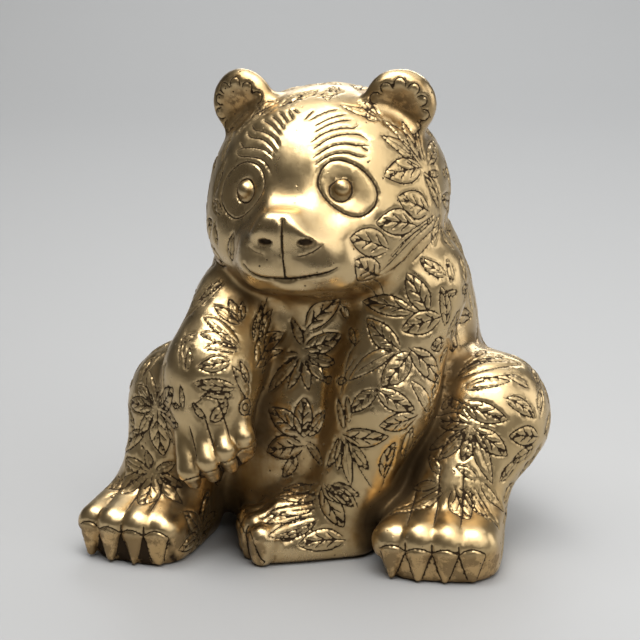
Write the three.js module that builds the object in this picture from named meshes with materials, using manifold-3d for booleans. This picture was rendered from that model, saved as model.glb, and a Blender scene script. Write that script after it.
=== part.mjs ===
// A seated bear, cast in one piece and polished: a round head with cupped ears, a broad
// muzzle, one forepaw hanging over the belly, the other planted between the hind feet.
// Millimetres, +Z up, the bear looks along -Y and its left side is +X.
import * as THREE from 'three';
import Module from 'manifold-3d';

const wasm = await Module();
wasm.setup();

// ---------------------------------------------------------------- driving sizes
const TRUNK = {
  belly: { c: [0, 18, 72], r: [94, 92, 86] },
  chest: { c: [2, 12, 142], r: [80, 66, 66] },
  neck: { c: [2, -4, 178], r: [58, 52, 40] },
  seat: { c: [-2, 2, 30], r: [86, 72, 42] },
  blend: 40, seatBlend: 16,
};
const HEAD = { c: [1.5, -22, 212], yaw: -7, pitch: -2, roll: 3, r: [73, 71, 66], blend: 8 };
const CHEEK = { l: 26, f: 26, u: -18, r: [36, 38, 32], blend: 22 };
const MUZZLE = { l: 3, f: 54, u: -13, w: 37, d: 44, h: 25.5, round: 19, front: 96, top: 10.5, narrow: 0.0075, blend: 16 };
const NOSE = { c: [0, 87, 1.5], r: [25, 9, 10] };
const FLEW = { c: [14, 82, -20], r: [18, 13.5, 13] };   // the two swellings of the upper lip
const LIP = { l: 3, f: 60, u: -31.5, r: [29, 32, 10.5] };
const EYES = [{ l: 28.5, f: 63, u: 19.5 }, { l: -32.5, f: 61.5, u: 16.8 }];
const EYE_BALL = 5.8, EYE_DISH = { away: 40, r: 41.2 };
const NOSTRIL = { l: 12.3, f: 95.2, u: -5, r: [4.4, 4.0, 1.7] };
const EAR = { l: 49, f: 6, u: 56, r: 22, t: 8.5, turn: 16, cup: { c: [-3, 12.5, -4], r: [18.5, 9.5, 18.5] } };
const LEGS = [
  { hip: [56, 22, 58], knee: [98, -20, 76], ankle: [86, -54, 40], r: [52, 37, 28],
    foot: { o: [78, -68, 0], yaw: 2, w: 66, l: 92, h: 46, pitch: 16, shift: 3.5, reach: 0.46, lift: -4, drop: 0.40,
      tuck: 0, sink: 0.8, edge: 11, arch: 0.09, soft: 14, dip: 0.8, fat: 0.84, claw: [0.58, 1.6, 0.03], skew: 0 } },
  { hip: [-58, 15, 58], knee: [-80, -48, 84], ankle: [-92, -62, 42], r: [52, 35, 28],
    foot: { o: [-99.5, -73, 0], yaw: -11, w: 58, l: 93, h: 48, pitch: 15, shift: 4, reach: 0.50, lift: -2.6, drop: 0.50,
      tuck: 1.2, sink: 0.6, edge: 12, arch: 0.09, soft: 13, dip: 0.6, fat: 0.70, claw: [0.60, 1.8, 0.03], skew: 0 } },
];
const ARM_L = { a: [54, -40, 163], b: [41, -62, 98], c: [24, -66, 42], r: [35, 29, 25],
  hand: { o: [-2, -72, 0], yaw: -66, w: 50, l: 86, h: 44, pitch: 11.8, shift: 0, reach: 0.20, lift: -5.5, drop: 0.34,
    tuck: 0, sink: 0.4, edge: 15, arch: 0.26, soft: 30, dip: 5.5, fat: 0.76, claw: [0.74, 6.8, 0.13], skew: 0 } };
const ARM_R = { a: [-50, -46, 146], b: [-59, -78, 112], c: [-58, -86, 96], r: [28, 26.5, 22],
  hand: { o: [-58.5, -92, 84], w: 45, l: 64, h: 41, pitch: 11.6, shift: 0, reach: 0.46, lift: -2.6, drop: 0.48,
    tuck: 4, sink: 1.2, edge: 12, arch: 0.16, soft: 18, dip: 0, fat: 0.62, claw: [0.51, 3.0, 0.10], skew: 0.28,
    fingers: [0.34, -0.64, -0.66], back: [-0.04, -0.69, 0.72] } };
const JOIN = { leg: 12, arm: 9 };   // how softly each limb runs into the trunk
const TOES = 4;
const SOLE_DEPTH = 2;          // the soles run this far below the ground before it trims them
const CELL = 4;                // spacing of the sampling lattice
const TRIANGLES = 9000;        // faces left on the finished skin before the ground cut
const BRONZE = { color: 0xa8894f, roughness: 0.30, metalness: 1.0 };

// ---------------------------------------------------------------- small vector helpers
const rad = (d) => (d * Math.PI) / 180;
const sub = (a, b) => [a[0] - b[0], a[1] - b[1], a[2] - b[2]];
const dot = (a, b) => a[0] * b[0] + a[1] * b[1] + a[2] * b[2];
const cross = (a, b) => [a[1] * b[2] - a[2] * b[1], a[2] * b[0] - a[0] * b[2], a[0] * b[1] - a[1] * b[0]];
const unit = (a) => { const n = Math.hypot(a[0], a[1], a[2]); return [a[0] / n, a[1] / n, a[2] / n]; };
const local = (p, o, M) => { const q = sub(p, o); return [dot(q, M[0]), dot(q, M[1]), dot(q, M[2])]; };
const clamp = (x, a, b) => Math.min(Math.max(x, a), b);

// ---------------------------------------------------------------- distance functions
function ellipsoid(x, y, z, c, r) {
  const a = x - c[0], b = y - c[1], d = z - c[2];
  const k0 = Math.hypot(a / r[0], b / r[1], d / r[2]);
  const k1 = Math.hypot(a / (r[0] * r[0]), b / (r[1] * r[1]), d / (r[2] * r[2]));
  return (k0 * (k0 - 1)) / Math.max(k1, 1e-6);
}
// a limb: a sphere of radius ra at a running into one of radius rb at b
function cone(p, a, b, ra, rb) {
  const ba = sub(b, a), l2 = dot(ba, ba), rr = ra - rb, a2 = l2 - rr * rr, il2 = 1 / l2;
  const pa = sub(p, a), y = dot(pa, ba), z = y - l2;
  const w = [pa[0] * l2 - ba[0] * y, pa[1] * l2 - ba[1] * y, pa[2] * l2 - ba[2] * y];
  const x2 = dot(w, w), y2 = y * y * l2, z2 = z * z * l2, k = Math.sign(rr) * rr * rr * x2;
  if (Math.sign(y) * a2 * y2 < k) return Math.sqrt(x2 + y2) * il2 - ra;
  if (Math.sign(z) * a2 * z2 > k) return Math.sqrt(x2 + z2) * il2 - rb;
  return (Math.sqrt(x2 * a2 * il2) + y * rr) * il2 - ra;
}
function smin(a, b, k) {
  const h = Math.max(k - Math.abs(a - b), 0) / k;
  return Math.min(a, b) - h * h * k * 0.25;
}
const smax = (a, b, k) => -smin(-a, -b, k);
function roundBox(d, r) {
  let s = 0, m = -Infinity;
  for (const e of d) { const v = e + r; s += Math.max(v, 0) ** 2; m = Math.max(m, v); }
  return Math.sqrt(s) + Math.min(m, 0) - r;
}
// axes (lateral, forward, up) of something that faces -Y, turned, tipped and tilted
function facing(yaw, pitch = 0, roll = 0) {
  const y = rad(yaw), t = rad(pitch), r = rad(roll);
  const F = [Math.sin(y) * Math.cos(t), -Math.cos(y) * Math.cos(t), Math.sin(t)];
  const L = [Math.cos(y), Math.sin(y), 0];
  let U = cross(L, F);
  if (U[2] < 0) U = U.map((v) => -v);
  const c = Math.cos(r), s = Math.sin(r);
  return [L.map((v, i) => c * v + s * U[i]), F, U.map((v, i) => c * v - s * L[i])];
}

// ---------------------------------------------------------------- paws
// a domed pad on a flat sole, toes in a shallow arc and a claw reaching down in front of each
function makePaw(P, M, o) {
  const { w, l, h, pitch, shift, reach, lift, drop, tuck, sink, edge, arch, soft, dip, fat, claw, skew } = P;
  const dome = (s, x) => h * (0.97 - drop * (clamp(s, -0.4, 0.6) + 0.4) ** 2 - arch * (2 * x / w) ** 2);
  const rb = 0.50 * pitch, rf = fat * pitch, tip = Math.max(rf - 0.6, 8.8);
  const toes = [], claws = [];
  for (let i = 0; i < TOES; i++) {
    const x = (i - (TOES - 1) / 2) * pitch, f = l * 0.5 - (x / w) ** 2 * l * 0.30 + skew * x;
    toes.push([[x * 0.9, f - reach * l, dome(f / l - reach, x * 0.9) - rb + lift],
      [x, f - tip, dome((f - tip) / l, x) - rf + 2.4 - dip - 9 * (x / w) ** 2]]);
    claws.push([[x, f - 7.2, 0.39 * h], [x, f - claw[1] - 0.3, claw[2] * h]]);
  }
  return (p) => {
    const q = local(p, o, M), s = q[1] / l;
    if (Math.hypot(q[0], q[1], q[2]) > l + 60) return Math.hypot(q[0], q[1], q[2]) - l;
    const taper = 1 + 0.16 * clamp(0.1 - s, 0, 0.6);
    const plan = roundBox([Math.abs((q[0] - shift) * taper) - 0.54 * w, Math.abs(q[1] + tuck / 2) - (0.487 * l - tuck / 2)], 0.38 * w);
    const k = clamp((s - 0.42 + reach) / 0.16, 0, 1);
    const roof = (q[2] - dome(s, q[0] - shift) + sink * k * k * (3 - 2 * k)) * 0.84;
    const d = smax(smax(plan, roof, soft), -q[2] - SOLE_DEPTH, edge);
    let t = Infinity, c = Infinity;
    for (const [a, b] of toes) { const e = cone(q, a, b, rb, rf); t = t === Infinity ? e : smin(t, e, 1.6); }
    for (const [a, b] of claws) c = Math.min(c, cone(q, a, b, claw[0] * pitch, claw[1]));
    return smin(smin(d, t, 3), c, 1);
  };
}

// ---------------------------------------------------------------- head
function makeHead() {
  const M = facing(HEAD.yaw, HEAD.pitch, HEAD.roll);
  const eyes = EYES.map((e) => {
    const c = [e.l, e.f, e.u], n = unit(c.map((v, i) => v / HEAD.r[i] ** 2));
    return { dish: c.map((v, i) => v + n[i] * EYE_DISH.away), ball: c.map((v, i) => v - n[i] * 3.5) };
  });
  const ct = Math.cos(rad(EAR.turn)), st = Math.sin(rad(EAR.turn));
  return (p) => {
    const [l, f, u] = local(p, HEAD.c, M);
    let d = ellipsoid(l, f, u, [0, 0, 0], HEAD.r);
    for (const s of [-1, 1]) d = smin(d, ellipsoid(l, f, u, [s * CHEEK.l, CHEEK.f, CHEEK.u], CHEEK.r), CHEEK.blend);
    const ml = l - MUZZLE.l, nl = ml * (1 + 0.0035 * (f - MUZZLE.f)) * (1 + MUZZLE.narrow * (u - MUZZLE.u));
    let muzzle = roundBox([Math.abs(nl) - MUZZLE.w, Math.abs(f - MUZZLE.f) - MUZZLE.d, Math.abs(u - MUZZLE.u) - MUZZLE.h], MUZZLE.round);
    const face = (f - MUZZLE.front) * 0.985 - (u + 14) * 0.02 + 0.0085 * ml * ml + 0.0068 * (u + 6) ** 2;
    const bridge = (u - MUZZLE.top) * 0.985 + (f - 82) * 0.17 + 0.0004 * ml * ml;
    muzzle = smax(smax(muzzle, face, 7), bridge, 3.5);
    muzzle = smin(muzzle, ellipsoid(Math.abs(ml), f, u, FLEW.c, FLEW.r), 5);
    muzzle = smin(muzzle, ellipsoid(ml, f, u, NOSE.c, NOSE.r), 4);
    d = smin(d, smin(muzzle, ellipsoid(l, f, u, [LIP.l, LIP.f, LIP.u], LIP.r), 2.5), MUZZLE.blend);
    for (const e of eyes) {
      d = smax(d, EYE_DISH.r - Math.hypot(l - e.dish[0], f - e.dish[1], u - e.dish[2]), 5);
      d = smin(d, Math.hypot(l - e.ball[0], f - e.ball[1], u - e.ball[2]) - EYE_BALL, 1.2);
    }
    d = smax(d, -ellipsoid(Math.abs(ml), f, u, [NOSTRIL.l, NOSTRIL.f, NOSTRIL.u], NOSTRIL.r), 1.5);
    const x = Math.abs(l) - EAR.l, y = f - EAR.f, z = u - EAR.u;
    const el = x * ct - y * st, ef = x * st + y * ct;
    let ear = smax(Math.hypot(el, z) - EAR.r, Math.abs(ef) - EAR.t, 13);
    ear = smax(ear, -ellipsoid(el, ef, z, EAR.cup.c, EAR.cup.r), 4);
    return smin(d, ear, 8);
  };
}

// ---------------------------------------------------------------- the whole bear
function makeBear() {
  const head = makeHead();
  const legs = LEGS.map((L) => {
    const foot = makePaw(L.foot, facing(L.foot.yaw), L.foot.o);
    return (p) => smin(smin(cone(p, L.hip, L.knee, L.r[0], L.r[1]), cone(p, L.knee, L.ankle, L.r[1], L.r[2]), 14), foot(p), 10);
  });
  const limb = (A, p) => smin(cone(p, A.a, A.b, A.r[0], A.r[1]), cone(p, A.b, A.c, A.r[1], A.r[2]), 16);
  const planted = makePaw(ARM_L.hand, facing(ARM_L.hand.yaw), ARM_L.hand.o);
  const H = ARM_R.hand, F = unit(H.fingers), k = dot(H.back, F);
  const U = unit(H.back.map((v, i) => v - k * F[i])), L = cross(F, U);
  const hanging = makePaw(H, [L, F, U], H.o.map((v, i) => v - 0.5 * H.h * U[i]));
  const T = TRUNK;
  return (p) => {
    const [x, y, z] = p;
    let d = ellipsoid(x, y, z, T.belly.c, T.belly.r);
    d = smin(d, ellipsoid(x, y, z, T.chest.c, T.chest.r), T.blend);
    d = smin(d, ellipsoid(x, y, z, T.neck.c, T.neck.r), T.blend);
    d = smin(d, ellipsoid(x, y, z, T.seat.c, T.seat.r), T.seatBlend);
    d = smin(d, head(p), HEAD.blend);
    for (const leg of legs) d = smin(d, leg(p), JOIN.leg);
    d = smin(d, smin(limb(ARM_L, p), planted(p), 12), JOIN.arm);
    return smin(d, smin(limb(ARM_R, p), hanging(p), 10), JOIN.arm);
  };
}

// ---------------------------------------------------------------- skin: lattice to triangles
// fills lattice points where the metal would touch itself along a bare edge or corner
function closePinches(G, n, at, h) {
  const held = new Uint8Array(G.length), steps = [at(1, 0, 0), at(0, 1, 0), at(0, 0, 1)];
  const fill = (list) => { for (const q of list) if (!(G[q] < 0)) { G[q] = -0.2 * h; held[q] = 1; } };
  for (let again = true; again;) {
    again = false;
    for (let i = 0; i + 1 < n[0]; i++) for (let j = 0; j + 1 < n[1]; j++) for (let k = 0; k + 1 < n[2]; k++) {
      const o = at(i, j, k);
      for (let d = 0; d < 3; d++) {
        const u = steps[d], v = steps[(d + 1) % 3], q = [o, o + u, o + v, o + u + v], m = q.map((x) => G[x] < 0);
        if (m[0] === m[3] && m[1] === m[2] && m[0] !== m[1]) { fill(q); again = true; }
      }
      const c = [0, 1, 2, 3, 4, 5, 6, 7].map((b) => o + (b & 1) * steps[0] + ((b >> 1) & 1) * steps[1] + (b >> 2) * steps[2]);
      const inside = c.filter((x) => G[x] < 0).length;
      if (inside !== 2 && inside !== 6) continue;
      for (let b = 0; b < 4; b++) {
        const s0 = G[c[b]] < 0, s1 = G[c[7 - b]] < 0;
        if (s0 === s1 && s0 === (inside === 2)) { fill(c); again = true; }
      }
    }
  }
  return held;
}
function skin(fn, lo, hi, h) {
  const n = lo.map((v, i) => Math.ceil((hi[i] - v) / h) + 1);
  const at = (i, j, k) => (i * n[1] + j) * n[2] + k;
  const G = new Float64Array(n[0] * n[1] * n[2]);
  for (let i = 0; i < n[0]; i++) for (let j = 0; j < n[1]; j++) for (let k = 0; k < n[2]; k++) {
    G[at(i, j, k)] = fn([lo[0] + i * h, lo[1] + j * h, lo[2] + k * h]);
  }
  const held = closePinches(G, n, at, h);
  const id = new Int32Array(G.length).fill(-1), V = [], T = [], fixed = [];
  for (let i = 0; i + 1 < n[0]; i++) for (let j = 0; j + 1 < n[1]; j++) for (let k = 0; k + 1 < n[2]; k++) {
    const acc = [0, 0, 0];
    let m = 0;
    for (let d = 0; d < 3; d++) for (let a = 0; a < 2; a++) for (let b = 0; b < 2; b++) {
      const o = [0, 0, 0];
      o[(d + 1) % 3] = a; o[(d + 2) % 3] = b;
      const g0 = G[at(i + o[0], j + o[1], k + o[2])];
      const e = o.slice(); e[d] = 1;
      const g1 = G[at(i + e[0], j + e[1], k + e[2])];
      if ((g0 < 0) === (g1 < 0)) continue;
      o[d] = g0 / (g0 - g1);
      for (let c = 0; c < 3; c++) acc[c] += o[c];
      m++;
    }
    if (!m) continue;
    id[at(i, j, k)] = V.length;
    let hold = false;
    for (let c = 0; c < 8; c++) if (held[at(i + (c & 1), j + ((c >> 1) & 1), k + (c >> 2))]) hold = true;
    fixed.push(hold);
    V.push([lo[0] + (i + acc[0] / m) * h, lo[1] + (j + acc[1] / m) * h, lo[2] + (k + acc[2] / m) * h]);
  }
  const d2 = (a, b) => { const q = sub(V[a], V[b]); return dot(q, q); };
  for (let d = 0; d < 3; d++) {
    const u = (d + 1) % 3, w = (d + 2) % 3;
    for (let i = 0; i < n[0]; i++) for (let j = 0; j < n[1]; j++) for (let k = 0; k < n[2]; k++) {
      const p = [i, j, k];
      if (p[d] + 1 >= n[d] || p[u] < 1 || p[w] < 1) continue;
      const q = p.slice(); q[d]++;
      const s0 = G[at(i, j, k)] < 0, s1 = G[at(q[0], q[1], q[2])] < 0;
      if (s0 === s1) continue;
      const cell = (a, b) => { const c = p.slice(); c[u] -= a; c[w] -= b; return id[at(c[0], c[1], c[2])]; };
      let Q = [cell(1, 1), cell(0, 1), cell(0, 0), cell(1, 0)];
      if (!s0) Q = Q.reverse();
      if (d2(Q[0], Q[2]) <= d2(Q[1], Q[3])) T.push([Q[0], Q[1], Q[2]], [Q[0], Q[2], Q[3]]);
      else T.push([Q[0], Q[1], Q[3]], [Q[1], Q[2], Q[3]]);
    }
  }
  return { V, T, fixed };
}
// moves each vertex on to the true surface, except in a crease too tight for the lattice
function settle({ V, fixed }, fn, rounds) {
  const e = 0.2;
  for (let i = 0; i < V.length; i++) for (let r = 0; r < (fixed[i] ? 0 : rounds); r++) {
    const p = V[i];
    const d = fn(p);
    const g = [0, 1, 2].map((c) => { const q = p.slice(); q[c] += e; const s = p.slice(); s[c] -= e; return (fn(q) - fn(s)) / (2 * e); });
    const k = clamp(d / Math.max(dot(g, g), 0.1), -2, 2);
    for (let c = 0; c < 3; c++) p[c] -= k * g[c];
  }
}

// ---------------------------------------------------------------- fewer triangles, same form
function thin(V, T, target) {
  const nv = V.length, Q = new Float64Array(nv * 10), alive = new Uint8Array(T.length).fill(1), stamp = new Int32Array(nv);
  const faces = Array.from({ length: nv }, () => []);
  const normal = (a, b, c) => cross(sub(b, a), sub(c, a));
  T.forEach((t, i) => {
    const m = normal(V[t[0]], V[t[1]], V[t[2]]), a = Math.hypot(...m);
    for (const v of t) faces[v].push(i);
    if (a < 1e-12) return;
    const n = m.map((x) => x / a), d = -dot(n, V[t[0]]), q = [n[0], n[1], n[2], d];
    for (const v of t) { let s = v * 10; for (let r = 0; r < 4; r++) for (let c = r; c < 4; c++) Q[s++] += q[r] * q[c] * a; }
  });
  const ring = (v) => { const s = new Set(); for (const f of faces[v]) for (const w of T[f]) if (w !== v) s.add(w); return s; };
  const heap = [];
  const push = (it) => {
    let i = heap.length; heap.push(it);
    while (i) { const p = (i - 1) >> 1; if (heap[p].cost <= it.cost) break; heap[i] = heap[p]; i = p; }
    heap[i] = it;
  };
  const pop = () => {
    const top = heap[0], it = heap.pop();
    if (heap.length) {
      let i = 0;
      for (;;) { let c = 2 * i + 1; if (c >= heap.length) break; if (c + 1 < heap.length && heap[c + 1].cost < heap[c].cost) c++; if (heap[c].cost >= it.cost) break; heap[i] = heap[c]; i = c; }
      heap[i] = it;
    }
    return top;
  };
  const error = (q, p) => q[0] * p[0] * p[0] + 2 * q[1] * p[0] * p[1] + 2 * q[2] * p[0] * p[2] + 2 * q[3] * p[0]
    + q[4] * p[1] * p[1] + 2 * q[5] * p[1] * p[2] + 2 * q[6] * p[1] + q[7] * p[2] * p[2] + 2 * q[8] * p[2] + q[9];
  const offer = (a, b) => {
    const q = new Float64Array(10);
    for (let i = 0; i < 10; i++) q[i] = Q[a * 10 + i] + Q[b * 10 + i];
    const A = [[q[0], q[1], q[2]], [q[1], q[4], q[5]], [q[2], q[5], q[7]]];
    const det = dot(A[0], cross(A[1], A[2])), tr = q[0] + q[4] + q[7];
    const mid = V[a].map((v, i) => (v + V[b][i]) / 2), len = Math.hypot(...sub(V[a], V[b]));
    let p = mid;
    if (Math.abs(det) > 1e-5 * tr ** 3) {
      const r = [-q[3], -q[6], -q[8]], x = cross(A[1], A[2]), y = cross(A[2], A[0]), z = cross(A[0], A[1]);
      const s = [0, 1, 2].map((c) => (x[c] * r[0] + y[c] * r[1] + z[c] * r[2]) / det);
      if (Math.hypot(...sub(s, mid)) < len) p = s;
    }
    push({ cost: Math.max(error(q, p), 0) + 1e-3 * len * len, a, b, p, sa: stamp[a], sb: stamp[b] });
  };
  for (let v = 0; v < nv; v++) for (const w of ring(v)) if (w > v) offer(v, w);
  let count = T.length;
  while (count > target && heap.length) {
    const { a, b, p, sa, sb } = pop();
    if (stamp[a] !== sa || stamp[b] !== sb) continue;
    const ra = ring(a), rb = ring(b), shared = [...ra].filter((v) => rb.has(v));
    if (shared.length !== 2 || ra.size + rb.size - 4 < 4) continue;
    let ok = true;
    for (const [v, o] of [[a, b], [b, a]]) for (const f of faces[v]) {
      if (T[f].includes(o)) continue;
      const was = normal(...T[f].map((w) => V[w])), P = T[f].map((w) => (w === v ? p : V[w])), now = normal(...P);
      const ln = Math.hypot(...now), e = Math.max(...[0, 1, 2].map((c) => Math.hypot(...sub(P[c], P[(c + 1) % 3]))));
      if (dot(was, now) < 0.5 * Math.hypot(...was) * ln || ln < 0.18 * e * e) { ok = false; break; }
    }
    if (!ok) continue;
    for (const f of faces[b]) {
      if (T[f].includes(a)) { alive[f] = 0; count--; for (const w of T[f]) if (w !== b) faces[w] = faces[w].filter((g) => g !== f); } else {
        T[f] = T[f].map((w) => (w === b ? a : w)); faces[a].push(f);
      }
    }
    faces[b] = [];
    V[a] = p;
    for (let i = 0; i < 10; i++) Q[a * 10 + i] += Q[b * 10 + i];
    stamp[a]++; stamp[b]++;
    for (const w of ring(a)) offer(a, w);
  }
  const map = new Int32Array(nv).fill(-1), W = [], F = [];
  T.forEach((t, i) => { if (alive[i]) F.push(t.map((v) => { if (map[v] < 0) { map[v] = W.length; W.push(V[v]); } return map[v]; })); });
  return { V: W, T: F };
}

// ---------------------------------------------------------------- solids
const solid = (V, T) => new wasm.Manifold(new wasm.Mesh({ numProp: 3, vertProperties: Float32Array.from(V.flat()), triVerts: Uint32Array.from(T.flat()) }));
function solidBox(w, d, h, x, y, z) {
  const g = new THREE.BoxGeometry(w, d, h).translate(x, y, z), key = new Map(), V = [], T = [], id = [];
  const p = g.attributes.position;
  for (let i = 0; i < p.count; i++) {
    const s = `${p.getX(i)},${p.getY(i)},${p.getZ(i)}`;
    if (!key.has(s)) { key.set(s, V.length); V.push([p.getX(i), p.getY(i), p.getZ(i)]); }
    id.push(key.get(s));
  }
  for (let i = 0; i < g.index.count; i += 3) T.push([0, 1, 2].map((c) => id[g.index.getX(i + c)]));
  return solid(V, T);
}

const bear = makeBear();
const raw = skin(bear, [-152.3, -137.7, -22.4], [153, 126, 303], CELL);
settle(raw, bear, 3);
const lean = thin(raw.V, raw.T, TRIANGLES);
const cast = solid(lean.V, lean.T).intersect(solidBox(600, 600, 600, 0, 0, 300));   // trimmed flat where it rests

// ---------------------------------------------------------------- mesh, centred over the origin
const out = cast.getMesh(), pos = new Float32Array(out.numVert * 3);
for (let i = 0; i < out.numVert; i++) for (let c = 0; c < 3; c++) pos[i * 3 + c] = out.vertProperties[i * out.numProp + c];
const geometry = new THREE.BufferGeometry();
geometry.setAttribute('position', new THREE.BufferAttribute(pos, 3));
geometry.setIndex(new THREE.BufferAttribute(Uint32Array.from(out.triVerts), 1));
geometry.computeBoundingBox();
const box = geometry.boundingBox;
geometry.translate(-(box.min.x + box.max.x) / 2, -(box.min.y + box.max.y) / 2, -box.min.z);
geometry.computeVertexNormals();

const mesh = new THREE.Mesh(geometry, new THREE.MeshStandardMaterial(BRONZE));
mesh.name = 'bear';
const group = new THREE.Group();
group.add(mesh);
export default group;
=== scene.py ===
import math
import bpy
import numpy as np
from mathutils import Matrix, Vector
from mathutils.kdtree import KDTree


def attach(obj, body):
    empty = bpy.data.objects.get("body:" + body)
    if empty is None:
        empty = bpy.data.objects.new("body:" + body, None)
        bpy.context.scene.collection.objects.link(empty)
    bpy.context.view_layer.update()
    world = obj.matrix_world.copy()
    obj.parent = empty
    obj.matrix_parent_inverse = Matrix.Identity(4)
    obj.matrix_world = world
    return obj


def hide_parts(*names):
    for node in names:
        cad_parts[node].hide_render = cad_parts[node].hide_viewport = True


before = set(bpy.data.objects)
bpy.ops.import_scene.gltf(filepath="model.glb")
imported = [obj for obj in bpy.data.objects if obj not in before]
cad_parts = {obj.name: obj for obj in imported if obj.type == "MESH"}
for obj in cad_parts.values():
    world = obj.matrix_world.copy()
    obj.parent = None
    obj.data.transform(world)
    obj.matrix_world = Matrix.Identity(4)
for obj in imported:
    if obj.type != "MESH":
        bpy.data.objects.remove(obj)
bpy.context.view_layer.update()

# ------------------------------------------------------------------ the figure's named sizes, in millimetres
# (lateral, forward, up) axes are used on the head and the paws; the bear looks along -Y
SHIFT = np.array((-0.103, 5.680, 0.0))          # from the modelling axes to the shared frame
BELLY = dict(c=(0, 18, 72), r=(94, 92, 86))
CHEST = dict(c=(2, 12, 142), r=(80, 66, 66))
NECK = dict(c=(2, -4, 178), r=(58, 52, 40))
SEAT = dict(c=(-2, 2, 30), r=(86, 72, 42))
HEAD = dict(c=(1.5, -22, 212), yaw=-7, pitch=-2, roll=3, r=(73, 71, 66))
CHEEK = dict(l=26, f=26, u=-18, r=(36, 38, 32))
MUZZLE = dict(l=3.0, f=54, u=-13, w=37, d=44, h=25.5, round=19, front=96, top=10.5, narrow=0.0075)
NOSE = dict(c=(0, 87, 1.5), r=(25, 9, 10))
FLEW = dict(c=(14, 82, -20), r=(18, 13.5, 13))
LIP = dict(c=(3.0, 60, -31.5), r=(29, 32, 10.5))
EYES = ((28.5, 63, 19.5), (-32.5, 61.5, 16.8))
BALL, DISH = 5.8, (40, 41.2)
NOSTRIL = dict(l=12.3, c=(12.3, 95.2, -5.0), r=(4.4, 4.0, 1.7))
EAR = dict(l=49, f=6, u=56, r=22, t=8.5, cup=14, turn=16)
LEG_L = dict(hip=(56, 22, 58), knee=(98, -20, 76), ankle=(86, -54, 40), r=(52, 37, 28))
LEG_R = dict(hip=(-58, 15, 58), knee=(-80, -48, 84), ankle=(-92, -62, 42), r=(52, 35, 28))
ARM_L = dict(a=(54, -40, 163), b=(41, -62, 98), c=(24, -66, 42), r=(35, 29, 25))
ARM_R = dict(a=(-50, -46, 146), b=(-59, -78, 112), c=(-58, -86, 96), r=(28, 26.5, 22))
FOOT_L = dict(o=(78, -68, 0), yaw=2, w=66, l=92, h=46, pitch=16.0, shift=3.5, reach=0.46, lift=-4.0, drop=0.40, tuck=0.0, sink=0.8, edge=11, arch=0.09, soft=14, dip=0.8, fat=0.84, claw=(0.56, 2.0, 0.05), skew=0.0)
FOOT_R = dict(o=(-99.5, -73, 0), yaw=-11, w=58, l=93, h=48, pitch=15.0, shift=4.0, reach=0.50, lift=-2.6, drop=0.50, tuck=1.2, sink=0.6, edge=12, arch=0.09, soft=13, dip=0.6, fat=0.74, claw=(0.56, 2.9, 0.07), skew=0.0)
HAND_L = dict(o=(-2, -72, 0), yaw=-66, w=50, l=86, h=44, pitch=11.8, shift=0.0, reach=0.20, lift=-5.5, drop=0.34, tuck=0.0, sink=0.4, edge=15, arch=0.26, soft=30, dip=5.5, fat=0.76, claw=(0.74, 6.8, 0.13), skew=0.0)
HAND_R = dict(o=(-58.5, -92, 84), w=45, l=64, h=41, pitch=11.6, shift=0.0, reach=0.46, lift=-2.6, drop=0.48, tuck=4.0, sink=1.2, edge=12, arch=0.16, soft=18, dip=0.0, fat=0.66, claw=(0.50, 4.3, 0.22), skew=0.28)
FINGERS, BACK_OF_HAND = (0.34, -0.64, -0.66), (-0.04, -0.69, 0.72)
TOES = 4

# the photograph's view: where it looks, how far off and how long the lens
VIEW = dict(az=11.0, el=16.0, dist=1500.0, f=2400.0, look=(-9.0, 0.0, 125.0), mid=320.0)
rng = np.random.default_rng(11)


# ------------------------------------------------------------------ distance functions
def V(*a):
    return np.array(a, np.float32)


def unit(v):
    v = np.asarray(v, np.float64)
    return v / np.linalg.norm(v)


def ellipsoid(p, c, r):
    q = p - V(*c)
    r = V(*r)
    k0 = np.sqrt(((q / r) ** 2).sum(-1))
    k1 = np.sqrt(((q / (r * r)) ** 2).sum(-1))
    return k0 * (k0 - 1.0) / np.maximum(k1, 1e-6)


def cone(p, a, b, ra, rb):
    a = V(*a)
    ba = V(*b) - a
    l2 = float(ba @ ba)
    rr = ra - rb
    a2 = l2 - rr * rr
    il2 = 1.0 / l2
    pa = p - a
    y = pa @ ba
    z = y - l2
    x2 = ((pa * l2 - y[..., None] * ba) ** 2).sum(-1)
    y2 = y * y * l2
    z2 = z * z * l2
    k = np.sign(rr) * rr * rr * x2
    d = (np.sqrt(x2 * a2 * il2) + y * rr) * il2 - ra
    d = np.where(np.sign(z) * a2 * z2 > k, np.sqrt(x2 + z2) * il2 - rb, d)
    return np.where(np.sign(y) * a2 * y2 < k, np.sqrt(x2 + y2) * il2 - ra, d)


def smin(a, b, k):
    h = np.maximum(k - np.abs(a - b), 0) / k
    return np.minimum(a, b) - h * h * k * 0.25


def smax(a, b, k):
    return -smin(-a, -b, k)


def rbox(d, r):
    d = d + r
    return np.sqrt((np.maximum(d, 0) ** 2).sum(-1)) + np.minimum(d.max(-1), 0) - r


def facing(yaw, pitch=0.0, roll=0.0):
    y, t, r = map(math.radians, (yaw, pitch, roll))
    F = np.array([math.sin(y) * math.cos(t), -math.cos(y) * math.cos(t), math.sin(t)])
    L = np.array([math.cos(y), math.sin(y), 0.0])
    U = np.cross(L, F)
    if U[2] < 0:
        U = -U
    return np.array([math.cos(r) * L + math.sin(r) * U, F, math.cos(r) * U - math.sin(r) * L])


def hanging():
    F = unit(FINGERS)
    B = np.array(BACK_OF_HAND)
    U = unit(B - (B @ F) * F)
    return np.array([np.cross(F, U), F, U])


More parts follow.
